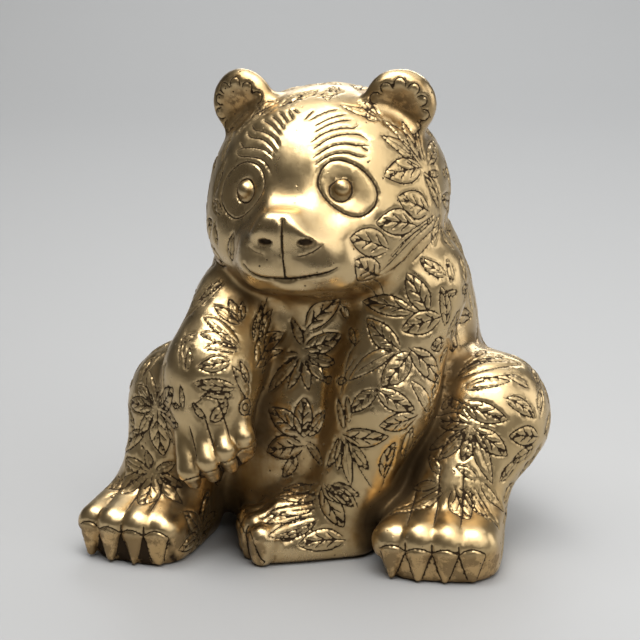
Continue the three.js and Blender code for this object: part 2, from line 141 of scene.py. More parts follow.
HEAD_M = facing(HEAD["yaw"], HEAD["pitch"], HEAD["roll"])
HANG_M = hanging()
PAWS = {
    "foot_l": (FOOT_L, np.array(FOOT_L["o"], float), facing(FOOT_L["yaw"])),
    "foot_r": (FOOT_R, np.array(FOOT_R["o"], float), facing(FOOT_R["yaw"])),
    "hand_l": (HAND_L, np.array(HAND_L["o"], float), facing(HAND_L["yaw"])),
    "hand_r": (HAND_R, np.array(HAND_R["o"], float) - 0.5 * HAND_R["h"] * HANG_M[2], HANG_M),
}


def dome(P, s, x):
    return P["h"] * (0.97 - P["drop"] * (np.clip(s, -0.4, 0.6) + 0.4) ** 2 - P["arch"] * (2 * x / P["w"]) ** 2)


def toe_rows(P):
    w, l, h = P["w"], P["l"], P["h"]
    sp = P["pitch"]
    rb, rf = 0.50 * sp, P["fat"] * sp
    tip = max(rf - 0.6, 8.8)
    rows = []
    for i in range(TOES):
        x = (i - (TOES - 1) / 2) * sp
        f = l * 0.5 - (x / w) ** 2 * l * 0.30 + P["skew"] * x
        toe = ((x * 0.9, f - P["reach"] * l, float(dome(P, f / l - P["reach"], x * 0.9)) - rb + P["lift"]),
               (x, f - tip, float(dome(P, (f - tip) / l, x)) - rf + 2.4 - P["dip"] - 9 * (x / w) ** 2), rb, rf)
        claw = ((x, f - 7.2, 0.39 * h), (x, f - P["claw"][1] - 0.3, P["claw"][2] * h), P["claw"][0] * sp, P["claw"][1])
        rows.append((toe, claw))
    return rows


def paw(p, P, o, M):
    q = (p - V(*o)) @ M.T.astype(np.float32)
    far = np.sqrt((q * q).sum(-1))
    out = far - P["l"]
    near = far < P["l"] + 60
    if not near.any():
        return out
    q = q[near]
    w, l, h = P["w"], P["l"], P["h"]
    s = q[..., 1] / l
    taper = 1.0 + 0.16 * np.clip(0.1 - s, 0, 0.6)
    plan = rbox(np.stack([np.abs((q[..., 0] - P["shift"]) * taper) - 0.54 * w, np.abs(q[..., 1] + P["tuck"] / 2) - (0.487 * l - P["tuck"] / 2)], -1), 0.38 * w)
    k = np.clip((s - 0.42 + P["reach"]) / 0.16, 0, 1)
    roof = (q[..., 2] - dome(P, s, q[..., 0] - P["shift"]) + P["sink"] * k * k * (3 - 2 * k)) * 0.84
    d = smax(smax(plan, roof, P["soft"]), -q[..., 2] - 2, P["edge"])
    toes = claws = None
    for t, c in toe_rows(P):
        e, g = cone(q, *t), cone(q, *c)
        toes = e if toes is None else smin(toes, e, 1.6)
        claws = g if claws is None else np.minimum(claws, g)
    out[near] = smin(smin(d, toes, 3.0), claws, 1.0)
    return out


def head_local(p):
    return (p - V(*HEAD["c"])) @ HEAD_M.T.astype(np.float32)


def head_world(q):
    return np.asarray(q, float) @ HEAD_M + np.array(HEAD["c"], float)


def head(q):
    m, ck, er = MUZZLE, CHEEK, EAR
    l, f, u = q[..., 0], q[..., 1], q[..., 2]
    hd = ellipsoid(q, (0, 0, 0), HEAD["r"])
    for sd in (-1, 1):
        hd = smin(hd, ellipsoid(q, (sd * ck["l"], ck["f"], ck["u"]), ck["r"]), 22)
    ml = l - m["l"]
    nl = ml * (1 + 0.0035 * (f - m["f"])) * (1 + m["narrow"] * (u - m["u"]))
    muz = rbox(np.stack([np.abs(nl) - m["w"], np.abs(f - m["f"]) - m["d"], np.abs(u - m["u"]) - m["h"]], -1), m["round"])
    fr = (f - m["front"]) * 0.985 - (u + 14) * 0.02 + 0.0085 * ml ** 2 + 0.0068 * (u + 6) ** 2
    tp = (u - m["top"]) * 0.985 + (f - 82) * 0.17 + 0.0004 * ml ** 2
    muz = smax(smax(muz, fr, 7), tp, 3.5)
    side = np.stack([np.abs(ml), f, u], -1)
    muz = smin(muz, ellipsoid(side, FLEW["c"], FLEW["r"]), 5)
    muz = smin(muz, ellipsoid(np.stack([ml, f, u], -1), NOSE["c"], NOSE["r"]), 4)
    hd = smin(hd, smin(muz, ellipsoid(q, LIP["c"], LIP["r"]), 2.5), 16)
    for e in EYES:
        ec = np.array(e)
        n = unit(ec / np.array(HEAD["r"]) ** 2)
        hd = smax(hd, DISH[1] - np.sqrt(((q - V(*(ec + n * DISH[0]))) ** 2).sum(-1)), 5)
        hd = smin(hd, np.sqrt(((q - V(*(ec - n * 3.5))) ** 2).sum(-1)) - BALL, 1.2)
    hd = smax(hd, -ellipsoid(np.stack([np.abs(ml), f, u], -1), NOSTRIL["c"], NOSTRIL["r"]), 1.5)
    tw = math.radians(er["turn"])
    x, y, z = np.abs(l) - er["l"], f - er["f"], u - er["u"]
    el, ef = x * math.cos(tw) - y * math.sin(tw), x * math.sin(tw) + y * math.cos(tw)
    ear = smax(np.hypot(el, z) - er["r"], np.abs(ef) - er["t"], 13)
    cup = ellipsoid(np.stack([el, ef, z], -1), (-3, er["t"] + 4.0, -4), (er["cup"] + 4.5, 9.5, er["cup"] + 4.5))
    return smin(hd, smax(ear, -cup, 4), 8)


def bear(p):
    p = np.asarray(p, np.float32)
    d = smin(smin(ellipsoid(p, **BELLY), ellipsoid(p, **CHEST), 40), ellipsoid(p, **NECK), 40)
    d = smin(d, ellipsoid(p, **SEAT), 16)
    d = smin(d, head(head_local(p)), 8)
    for L, k in ((LEG_L, "foot_l"), (LEG_R, "foot_r")):
        leg = smin(cone(p, L["hip"], L["knee"], L["r"][0], L["r"][1]), cone(p, L["knee"], L["ankle"], L["r"][1], L["r"][2]), 14)
        d = smin(d, smin(leg, paw(p, *PAWS[k]), 10), 12)
    for A, k, b in ((ARM_L, "hand_l", 12), (ARM_R, "hand_r", 10)):
        arm = smin(cone(p, A["a"], A["b"], A["r"][0], A["r"][1]), cone(p, A["b"], A["c"], A["r"][1], A["r"][2]), 16)
        d = smin(d, smin(arm, paw(p, *PAWS[k]), b), 9)
    return d


def skin(p):
    """the figure, trimmed at the ground with a worn edge"""
    p = np.asarray(p, np.float32)
    return smax(bear(p), -p[..., 2], 2.0)


TETRA = np.array([[1, -1, -1], [-1, -1, 1], [-1, 1, -1], [1, 1, 1]], np.float32)


def chunks(fn, p, n=150000):
    p = np.asarray(p, np.float32)
    return np.concatenate([fn(p[i:i + n]) for i in range(0, len(p), n)]) if len(p) else np.zeros(0, np.float32)


def gradient(p, e=0.25):
    p = np.asarray(p, np.float32)
    g = np.zeros(p.shape, np.float64)
    for k in TETRA:
        g += k * chunks(skin, p + e * k)[:, None]
    return g / (4 * e)


def normals(p):
    g = gradient(p)
    return g / np.maximum(np.linalg.norm(g, axis=1, keepdims=True), 1e-9)


def settle(p, rounds=2):
    p = np.array(p, np.float64)
    for _ in range(rounds):
        d = chunks(skin, p).astype(np.float64)
        g = gradient(p)
        p -= np.clip(d / np.maximum((g * g).sum(1), 0.15), -2.5, 2.5)[:, None] * g
    return p


# ------------------------------------------------------------------ lattice to triangles
def close_pinches(G, h):
    held = np.zeros(G.shape, bool)
    while True:
        S = G < 0
        fill = np.zeros(G.shape, bool)
        for u, v in ((0, 1), (1, 2), (2, 0)):
            def cut(a, b):
                s = [slice(None)] * 3
                s[u] = slice(a, S.shape[u] - 1 + a)
                s[v] = slice(b, S.shape[v] - 1 + b)
                return tuple(s)
            a, b, c, d = S[cut(0, 0)], S[cut(1, 0)], S[cut(0, 1)], S[cut(1, 1)]
            bad = (a == d) & (b == c) & (a != b)
            for i, j in ((0, 0), (1, 0), (0, 1), (1, 1)):
                fill[cut(i, j)] |= bad
        cor = lambda i, j, k: (slice(i, S.shape[0] - 1 + i), slice(j, S.shape[1] - 1 + j), slice(k, S.shape[2] - 1 + k))
        all8 = [(i, j, k) for i in (0, 1) for j in (0, 1) for k in (0, 1)]
        n = sum(S[cor(*c)].astype(np.int8) for c in all8)
        bad = np.zeros(n.shape, bool)
        for c in all8[:4]:
            o = tuple(1 - x for x in c)
            s0, s1 = S[cor(*c)], S[cor(*o)]
            bad |= ((n == 2) & s0 & s1) | ((n == 6) & ~s0 & ~s1)
        for c in all8:
            fill[cor(*c)] |= bad
        fill &= ~S
        if not fill.any():
            return held
        G[fill] = -0.2 * h
        held |= fill


def surface(lo, hi, h):
    ax = [np.arange(lo[i], hi[i] + h * 0.5, h, dtype=np.float32) for i in range(3)]
    P = np.stack(np.meshgrid(*ax, indexing="ij"), -1).reshape(-1, 3)
    G = chunks(skin, P).reshape(len(ax[0]), len(ax[1]), len(ax[2]))
    held = close_pinches(G, h)
    S = G < 0
    c8 = [(i, j, k) for i in (0, 1) for j in (0, 1) for k in (0, 1)]
    cor = lambda A, i, j, k: A[i:A.shape[0] - 1 + i, j:A.shape[1] - 1 + j, k:A.shape[2] - 1 + k]
    cnt = sum(cor(S, *c).astype(np.int8) for c in c8)
    I, J, K = np.nonzero((cnt > 0) & (cnt < 8))
    idx = -np.ones(cnt.shape, np.int64)
    idx[I, J, K] = np.arange(len(I))
    fixed = sum(cor(held, *c).astype(np.int8) for c in c8)[I, J, K] > 0
    acc, n = np.zeros((len(I), 3)), np.zeros(len(I))
    for d in range(3):
        o1, o2 = [x for x in range(3) if x != d]
        for a in (0, 1):
            for b in (0, 1):
                o = [0, 0, 0]
                o[o1], o[o2] = a, b
                e = list(o)
                e[d] = 1
                g0, g1 = G[I + o[0], J + o[1], K + o[2]], G[I + e[0], J + e[1], K + e[2]]
                m = (g0 < 0) != (g1 < 0)
                pt = np.zeros((len(I), 3))
                pt[:, o1], pt[:, o2] = a, b
                pt[:, d] = np.where(m, g0 / np.where(m, g0 - g1, 1), 0)
                acc[m] += pt[m]
                n[m] += 1
    v = (acc / n[:, None] + np.stack([I, J, K], -1)) * h + np.array([x[0] for x in ax])
    quads = []
    for d in range(3):
        o1, o2 = ((1, 2), (2, 0), (0, 1))[d]
        s0, s1 = [slice(None)] * 3, [slice(None)] * 3
        s0[d], s1[d] = slice(0, -1), slice(1, None)
        A, B = S[tuple(s0)], S[tuple(s1)]
        e = np.stack(np.nonzero(A != B), -1)

        def cell(da, db):
            f = e.copy()
            f[:, o1] -= da
            f[:, o2] -= db
            return idx[f[:, 0], f[:, 1], f[:, 2]]
        q = np.stack([cell(1, 1), cell(0, 1), cell(0, 0), cell(1, 0)], -1)
        out = ~A[e[:, 0], e[:, 1], e[:, 2]]
        q[out] = q[out][:, ::-1]
        quads.append(q)
    q = np.concatenate(quads)
    a = ((v[q[:, 0]] - v[q[:, 2]]) ** 2).sum(1) <= ((v[q[:, 1]] - v[q[:, 3]]) ** 2).sum(1)
    t = np.concatenate([np.where(a[:, None], q[:, [0, 1, 2]], q[:, [0, 1, 3]]), np.where(a[:, None], q[:, [0, 2, 3]], q[:, [1, 2, 3]])])
    return v, t, fixed


# ------------------------------------------------------------------ mesh refinement
def edge_table(T, n):
    e = np.sort(np.concatenate([T[:, [0, 1]], T[:, [1, 2]], T[:, [2, 0]]]), axis=1)
    key, inv = np.unique(e[:, 0].astype(np.int64) * n + e[:, 1], return_inverse=True)
    return np.stack([key // n, key % n], 1), inv.reshape(3, -1).T


def split(Vt, T, mark, E, te):
    ids = np.cumsum(mark) - 1 + len(Vt)
    mid = (Vt[E[mark, 0]] + Vt[E[mark, 1]]) / 2
    W = np.concatenate([Vt, mid])
    k = mark[te]
    cnt = k.sum(1)
    out = [T[cnt == 0]]
    for r in range(3):                                    # one marked edge
        s = (cnt == 1) & k[:, r]
        a, b, c = T[s, r], T[s, (r + 1) % 3], T[s, (r + 2) % 3]
        m = ids[te[s, r]]
        out += [np.stack([a, m, c], 1), np.stack([m, b, c], 1)]
    for r in range(3):                                    # two marked edges, r is the one left whole
        s = (cnt == 2) & ~k[:, r]
        c, a, b = T[s, r], T[s, (r + 1) % 3], T[s, (r + 2) % 3]
        m1, m2 = ids[te[s, (r + 1) % 3]], ids[te[s, (r + 2) % 3]]
        out.append(np.stack([m1, b, m2], 1))
        q = ((W[a] - W[m2]) ** 2).sum(1) <= ((W[m1] - W[c]) ** 2).sum(1)
        out.append(np.where(q[:, None], np.stack([a, m1, m2], 1), np.stack([a, m1, c], 1)))
        out.append(np.where(q[:, None], np.stack([a, m2, c], 1), np.stack([m1, m2, c], 1)))
    s = cnt == 3
    a, b, c = T[s].T
    x, y, z = ids[te[s]].T
    out += [np.stack([a, x, z], 1), np.stack([x, b, y], 1), np.stack([z, y, c], 1), np.stack([x, y, z], 1)]
    return W, np.concatenate(out), mid


def flip(Vt, T, rounds=2, on=None):
    n = len(Vt)
    for _ in range(rounds):
        D = np.concatenate([T[:, [0, 1, 2]], T[:, [1, 2, 0]], T[:, [2, 0, 1]]])
        tri = np.tile(np.arange(len(T)), 3)
        key = np.minimum(D[:, 0], D[:, 1]).astype(np.int64) * n + np.maximum(D[:, 0], D[:, 1])
        order = np.argsort(key, kind="stable")
        ks = key[order]
        first = np.nonzero((ks[1:] == ks[:-1]))[0]
        i, j = order[first], order[first + 1]
        a, b, c, d = D[i, 0], D[i, 1], D[i, 2], D[j, 2]
        ok = (D[j, 0] == b) & (D[j, 1] == a) & (c != d)
        if on is not None:
            ok &= ~(on[a] & on[b])
        A, B, C, Q = Vt[a], Vt[b], Vt[c], Vt[d]

        def cosang(o, p, q):
            u, w = p - o, q - o
            return (u * w).sum(1) / np.maximum(np.linalg.norm(u, axis=1) * np.linalg.norm(w, axis=1), 1e-12)
        bad = np.arccos(np.clip(cosang(C, A, B), -1, 1)) + np.arccos(np.clip(cosang(Q, A, B), -1, 1)) - math.pi
        n0, n1 = np.cross(B - A, C - A), np.cross(A - B, Q - B)
        m0, m1 = np.cross(Q - A, C - A), np.cross(B - Q, C - Q)
        L = lambda x: np.maximum(np.linalg.norm(x, axis=1), 1e-12)
        flat = (n0 * n1).sum(1) > 0.86 * L(n0) * L(n1)
        av = n0 + n1
        keep = ((m0 * av).sum(1) > 0.6 * L(m0) * L(av)) & ((m1 * av).sum(1) > 0.6 * L(m1) * L(av))
        newkey = np.minimum(c, d).astype(np.int64) * n + np.maximum(c, d)
        fresh = ~np.isin(newkey, ks)
        cand = np.nonzero(ok & (bad > 0.02) & flat & keep & fresh)[0]
        if not len(cand):
            break
        best = np.full(len(T), -1.0)
        pr = bad[cand] + 1e-7 * np.arange(len(cand))
        t0, t1 = tri[i[cand]], tri[j[cand]]
        np.maximum.at(best, t0, pr)
        np.maximum.at(best, t1, pr)
        win = (best[t0] == pr) & (best[t1] == pr)
        w = cand[win]
        _, u = np.unique(newkey[w], return_index=True)
        w = w[u]
        t0, t1 = tri[i[w]], tri[j[w]]
        T = T.copy()
        T[t0] = np.stack([a[w], d[w], c[w]], 1)
        T[t1] = np.stack([d[w], b[w], c[w]], 1)
    return T


def relax(Vt, T, still, amount=0.5):
    acc, n = np.zeros(Vt.shape), np.zeros(len(Vt))
    for a, b in ((0, 1), (1, 2), (2, 0)):
        np.add.at(acc, T[:, a], Vt[T[:, b]])
        np.add.at(acc, T[:, b], Vt[T[:, a]])
        np.add.at(n, T[:, a], 1)
        np.add.at(n, T[:, b], 1)
    d = acc / np.maximum(n, 1)[:, None] - Vt
    N = face_normals(Vt, T)
    d -= (d * N).sum(1, keepdims=True) * N
    d[still] = 0
    return Vt + amount * d


def face_normals(Vt, T):
    f = np.cross(Vt[T[:, 1]] - Vt[T[:, 0]], Vt[T[:, 2]] - Vt[T[:, 0]])
    N = np.zeros(Vt.shape)
    for c in range(3):
        np.add.at(N, T[:, c], f)
    return N / np.maximum(np.linalg.norm(N, axis=1, keepdims=True), 1e-12)


# ------------------------------------------------------------------ finding places on the skin
def view_axes():
    a, e = math.radians(VIEW["az"]), math.radians(VIEW["el"])
    back = np.array([math.sin(a) * math.cos(e), -math.cos(a) * math.cos(e), math.sin(e)])
    right = np.array([math.cos(a), math.sin(a), 0.0])
    return right, np.cross(back, right), back


RIGHT, UP, BACK = view_axes()
EYE_AT = np.array(VIEW["look"]) + VIEW["dist"] * BACK
PX = VIEW["dist"] / VIEW["f"]                              # millimetres to a pixel at the figure


def trace(o, d, reach, steps=90):
    """first point of the skin along each ray, or the nearest pass if it misses"""
    n = len(o)
    t, best, bt = np.zeros(n), np.full(n, 1e9), np.zeros(n)
    live = np.arange(n)
    for _ in range(steps):
        v = chunks(skin, o[live] + d[live] * t[live, None]).astype(float)
        b = v < best[live]
        best[live[b]], bt[live[b]] = v[b], t[live[b]]
        go = (v > 0.05) & (t[live] < reach[live])
        live = live[go]
        if not len(live):
            break
        t[live] += np.maximum(v[go] * 0.85, 0.15)
    return settle(o + d * bt[:, None], 3)


def sight(uv):
    """rays from the camera through points of the photograph"""
    uv = np.atleast_2d(np.asarray(uv, float))
    d = -BACK + ((uv[:, :1] - VIEW["mid"]) / VIEW["f"]) * RIGHT - ((uv[:, 1:] - VIEW["mid"]) / VIEW["f"]) * UP
    d /= np.linalg.norm(d, axis=1, keepdims=True)
    return EYE_AT + d * (VIEW["dist"] - 260), d


def on_photo(uv):
    o, d = sight(uv)
    return trace(o, d, np.full(len(o), 560.0))


def smooth_path(pts, step, closed=False):
    """an even walk along a Catmull-Rom curve through the points"""
    P = np.asarray(pts, float)
    if len(P) == 2 and not closed:
        n = max(int(np.linalg.norm(P[1] - P[0]) / step), 1)
        return P[0] + (P[1] - P[0]) * np.linspace(0, 1, n + 1)[:, None]
    Q = np.concatenate([P[-1:], P, P[:2]]) if closed else np.concatenate([2 * P[:1] - P[1:2], P, 2 * P[-1:] - P[-2:-1]])
    out = []
    for i in range(1, len(Q) - 2):
        a, b, c, d = Q[i - 1:i + 3]
        t = np.linspace(0, 1, 12, endpoint=False)[:, None]
        out.append(0.5 * (2 * b + (c - a) * t + (2 * a - 5 * b + 4 * c - d) * t ** 2 + (3 * b - a - 3 * c + d) * t ** 3))
    out = np.concatenate(out + [Q[-2:-1]])
    s = np.concatenate([[0], np.cumsum(np.linalg.norm(np.diff(out, axis=0), axis=1))])
    k = np.linspace(0, s[-1], max(int(s[-1] / step), 2) + 1)
    return np.stack([np.interp(k, s, out[:, c]) for c in range(out.shape[1])], 1)


# ------------------------------------------------------------------ chased lines
LINES = []            # finished lines: points, depth, half width and darkness at each point
PADS = []             # leaf bodies: stem, tip, across, normal, width
RAYS = []             # lines still to be laid on the skin: origins, directions, reach, style
PLANS = []            # leaves read from the photograph, in pixels
LEAVES = []           # leaves still to be drawn: stem, tip, width, veins, bend, narrow


def even(P, step=0.5):
    s = np.concatenate([[0], np.cumsum(np.linalg.norm(np.diff(P, axis=0), axis=1))])
    k = np.linspace(0, s[-1], max(int(s[-1] / step), 1) + 1)
    return np.stack([np.interp(k, s, P[:, c]) for c in range(3)], 1)


def add_line(P, depth, half, dark=1.0, taper=True, grow=None):
    P = even(np.asarray(P, float))
    t = np.linspace(0, 1, len(P))
    f = np.clip(np.minimum(t, 1 - t) * 5 + 0.35, 0, 1) if taper else np.ones(len(P))
    g = 1 + (grow or 0.0) * t
    LINES.append((P, depth * f * g, half * (0.65 + 0.35 * f) * g, dark * (0.45 + 0.55 * f)))


def lay(o, d, reach, depth, half, dark=1.0, taper=True, grow=None):
    o = np.asarray(o, float)
    RAYS.append((o, np.broadcast_to(np.asarray(d, float), o.shape), np.full(len(o), float(reach)), (depth, half, dark, taper, grow)))


def photo_line(pts, depth=0.8, half=0.95, dark=1.0, closed=False, taper=True):
    o, d = sight(smooth_path(pts, 0.8, closed))
    lay(o, d, 560, depth, half, dark, taper)


def lay_all():
    P = trace(np.concatenate([r[0] for r in RAYS]), np.concatenate([r[1] for r in RAYS]), np.concatenate([r[2] for r in RAYS]))
    i = 0
    for r in RAYS:
        q = P[i:i + len(r[0])]
        i += len(r[0])
        gap = np.linalg.norm(np.diff(q, axis=0), axis=1)
        for run in np.split(np.arange(len(q)), np.nonzero(gap > 5.0)[0] + 1):
            if len(run) > 1:
                add_line(q[run], *r[3])
    RAYS.clear()


def blade(t):
    t = np.clip(t, 0, 1)
    return t ** 0.78 * (1 - t) ** 0.95 / 0.304


def draw_leaves():
    """pointed leaves on the skin: outline, midrib, side veins and a short stalk"""
    A, B = np.array([x[0] for x in LEAVES]), np.array([x[1] for x in LEAVES])
    M = settle((A + B) / 2, 2)
    NM = normals(M)
    raw = []
    for (a, b, width, veins, bend, narrow), m, n in zip(LEAVES, M, NM):
        L = np.linalg.norm(b - a)
        if L < 5:
            continue
        c = (b - a) / L
        s = unit(np.cross(n, c))
        W = width / 2
        g = min(max(W / 5.5, 0.62), 1.0)                    # a small leaf is cut finer, with fewer veins
        veins = 0 if W < 2.9 else min(veins, 2) if W < 4.2 else veins

        def at(t, x):
            t, x = np.asarray(t, float), np.asarray(x, float)
            sag = 4 * t * (1 - t)
            return a + c * (t * L)[:, None] + s * (x + bend * L * sag)[:, None] + (m - (a + b) / 2) * np.clip(sag, 0, 1)[:, None]
        k = max(int(L / 1.2), 7)
        t = np.linspace(0.05, 1, k + 1)
        raw += [(at(t, W * blade(t)), 0.6 + 0.4 * g, 0.80 * g, 0.7 + 0.3 * g), (at(t, -W * blade(t)), 0.6 + 0.4 * g, 0.80 * g, 0.7 + 0.3 * g)]
        stalk = min(0.05 * L, 1.0) / L
        if narrow:
            t = np.linspace(-stalk, 0.86, k)
            raw.append((at(t, 0.10 * W * blade(t)), 0.65 * g, 0.70 * g, 0.82 * g))
            if W > 3.8:
                t = np.linspace(0.16, 0.66, k)
                raw.append((at(t, 0.52 * W * blade(t)), 0.38, 0.55, 0.55))
        else:
            t = np.linspace(-stalk, 0.87, k)
            raw.append((at(t, 0 * t), 0.80 * g, 0.76 * g, 1.0 * g))
            for i in range(veins):
                t0 = 0.14 + 0.50 * i / max(veins - 1, 1)
                for sg in (-1, 1):
                    q = np.linspace(0, 1, 6)
                    tt = t0 + 0.23 * q + (0.03 if sg > 0 else 0)
                    raw.append((at(tt, sg * (0.30 * q + 0.38 * q * q) * W * blade(tt)), 0.60 * g, 0.64, 0.90 * g))
        PADS.append((a, b, s, n, width, bend))
    P = settle(np.concatenate([r[0] for r in raw]), 2)
    i = 0
    for r in raw:
        add_line(P[i:i + len(r[0])], *r[1:])
        i += len(r[0])
    LEAVES.clear()


def photo_leaves(rows):
    """each row: stem pixel, tip pixel, width in pixels and, if it curves, how much"""
    PLANS.extend(rows)


def draw_plans():
    n = len(PLANS)
    P = on_photo([r[:2] for r in PLANS] + [r[2:4] for r in PLANS])
    for r, a, b in zip(PLANS, P[:n], P[n:]):
        px = math.hypot(r[2] - r[0], r[3] - r[1])
        if np.linalg.norm(b - a) > 2.0 * px * PX + 3:      # one end slid off on to what lies behind
            step = PX * ((r[2] - r[0]) * RIGHT - (r[3] - r[1]) * UP)
            if (a - b) @ BACK > 0:
                b = settle((a + step)[None], 4)[0]
            else:
                a = settle((b - step)[None], 4)[0]
        L = np.linalg.norm(b - a)
        ratio = min(max(r[4] / px, 0.2), 0.60)
        bend = r[5] if len(r) > 5 else rng.uniform(-0.05, 0.05)
        LEAVES.append((a, b, min(1.14 * ratio * L, 16.5), 3 if ratio * L > 7 else 2, bend, ratio < 0.27))
    draw_leaves()


# leaves read from the photograph, grouped by where they lie
photo_leaves([                                             # right of the face, nape and crown
    (421, 166, 380, 135.5, 13), (422, 167, 384, 175.5, 18), (429, 211, 398, 196.5, 19), (416, 225, 376, 223, 20),
    (389, 249, 350, 238, 21), (379, 276, 355, 261, 16), (440, 209, 424, 172, 12),
    (421, 164, 383, 120, 9), (422, 163, 402, 120, 8), (424, 162, 418, 128, 8), (428, 164, 434, 140, 7),
    (384, 121, 339, 105, 9), (380, 117, 358, 101, 8), (441, 214, 433, 246, 9),
    (345, 91, 318, 97, 9), (318, 90, 296, 100, 7),
    (305, 92, 281, 107, 8), (282, 99, 250, 117, 8), (268, 107, 236, 134, 8), (250, 113, 228, 128, 7),
    (233, 130, 222, 160, 7), (226, 160, 214, 194, 7), (231, 262, 234, 232, 10), (217, 246, 215, 221, 6), (222, 214, 212, 200, 5)])
photo_leaves([                                             # hanging arm
    (223, 279, 198, 301, 8), (208, 297, 181, 323, 9), (241, 324, 214, 306, 10), (242, 322, 229, 298, 9), (240, 322, 243, 300, 6),
    (240, 346, 203, 317, 12), (240, 348, 199, 334, 11), (239, 351, 203, 348, 8), (231, 360, 197, 367, 14), (236, 388, 193, 383, 13),
    (248, 398, 232, 366, 9), (249, 385, 240, 360, 7), (210, 423, 228, 401, 11), (206, 420, 192, 402, 6), (234, 396, 203, 395, 7), (186, 372, 189, 346, 6),
    (196, 333, 178, 345, 7), (182, 410, 180, 385, 6)])
photo_leaves([                                             # chest and belly
    (255, 343, 263, 306, 9), (262, 345, 272, 309, 11), (257, 366, 284, 333, 20), (262, 366, 284, 350, 7),
    (300, 354, 262, 374, 9), (300, 356, 268, 393, 10), (301, 358, 287, 390, 8), (303, 358, 309, 391, 9), (305, 357, 324, 382, 10),
    (307, 355, 335, 363, 11), (305, 349, 341, 334, 16), (306, 330, 341, 299, 17), (303, 346, 291, 318, 8),
    (302, 436, 268, 408, 20), (301, 434, 304, 397, 17), (303, 446, 266, 452, 20), (305, 437, 325, 410, 10), (306, 442, 322, 466, 9), (296, 455, 282, 478, 9)])
photo_leaves([                                             # planted arm
    (428, 312, 407, 273, 19), (414, 312, 362, 302, 17), (400, 350, 366, 318, 19), (441, 317, 401, 330, 20), (462, 349, 431, 348, 21),
    (409, 348, 439, 383, 15), (411, 352, 381, 386, 22), (396, 350, 348, 381, 15), (447, 276, 420, 258, 12), (465, 331, 441, 286, 14),
    (452, 283, 447, 258, 8), (377, 389, 415, 410, 17), (377, 390, 350, 413, 13), (417, 416, 379, 426, 18), (343, 435, 389, 437, 18),
    (340, 437, 326, 469, 8), (341, 438, 337, 472, 8), (344, 438, 351, 486, 10), (349, 441, 369, 470, 11), (384, 478, 395, 442, 11),
    (404, 458, 413, 427, 9), (430, 413, 411, 380, 9), (344, 430, 337, 398, 8), (348, 424, 347, 396, 7), (432, 398, 441, 372, 7)])
photo_leaves([                                             # left knee and thigh
    (470, 424, 432, 422, 16), (463, 403, 508, 420, 18), (474, 428, 508, 456, 17), (474, 432, 493, 484, 14), (470, 432, 463, 462, 13),
    (466, 431, 437, 460, 12), (464, 428, 428, 450, 11), (462, 389, 511, 381, 11), (455, 379, 522, 365, 9), (462, 368, 505, 356, 8),
    (505, 398, 536, 418, 12), (538, 437, 509, 436, 13), (534, 447, 512, 462, 10), (500, 482, 520, 457, 10), (531, 473, 541, 444, 8),
    (463, 407, 447, 400, 7), (452, 395, 441, 410, 7), (540, 412, 541, 388, 7), (530, 388, 505, 374, 8), (440, 474, 428, 455, 7), (478, 480, 455, 466, 8)])
photo_leaves([                                             # right shin
    (157, 407, 166, 362, 10), (156, 406, 148, 369, 9), (154, 406, 137, 384, 9), (153, 408, 130, 402, 8), (159, 406, 173, 388, 9), (160, 408, 179, 407, 8),
    (160, 411, 178, 427, 10), (157, 412, 164, 456, 22), (152, 412, 138, 436, 9), (144, 432, 124, 452, 8),
    (150, 472, 126, 458, 8), (155, 472, 176, 462, 9), (150, 470, 145, 450, 8), (134, 428, 128, 404, 7), (140, 380, 152, 357, 7)])
photo_leaves([                                             # feet and planted hand
    (152, 476, 140, 505, 22), (147, 475, 107, 497, 8), (143, 472, 101, 489, 7), (157, 476, 184, 505, 10), (159, 473, 185, 487, 8),
    (455, 488, 469, 519, 20), (446, 487, 388, 515, 8), (463, 487, 490, 522, 9), (472, 485, 499, 530, 8), (480, 481, 503, 512, 8), (438, 484, 412, 488, 7),
    (321, 487, 344, 528, 20), (325, 485, 354, 507, 12), (333, 483, 360, 497, 9), (345, 540, 298, 545, 20), (318, 519, 268, 536, 14),
    (318, 505, 266, 513, 8), (319, 497, 276, 498, 8), (316, 511, 262, 523, 8), (312, 488, 282, 489, 7), (300, 530, 281, 541, 7)])

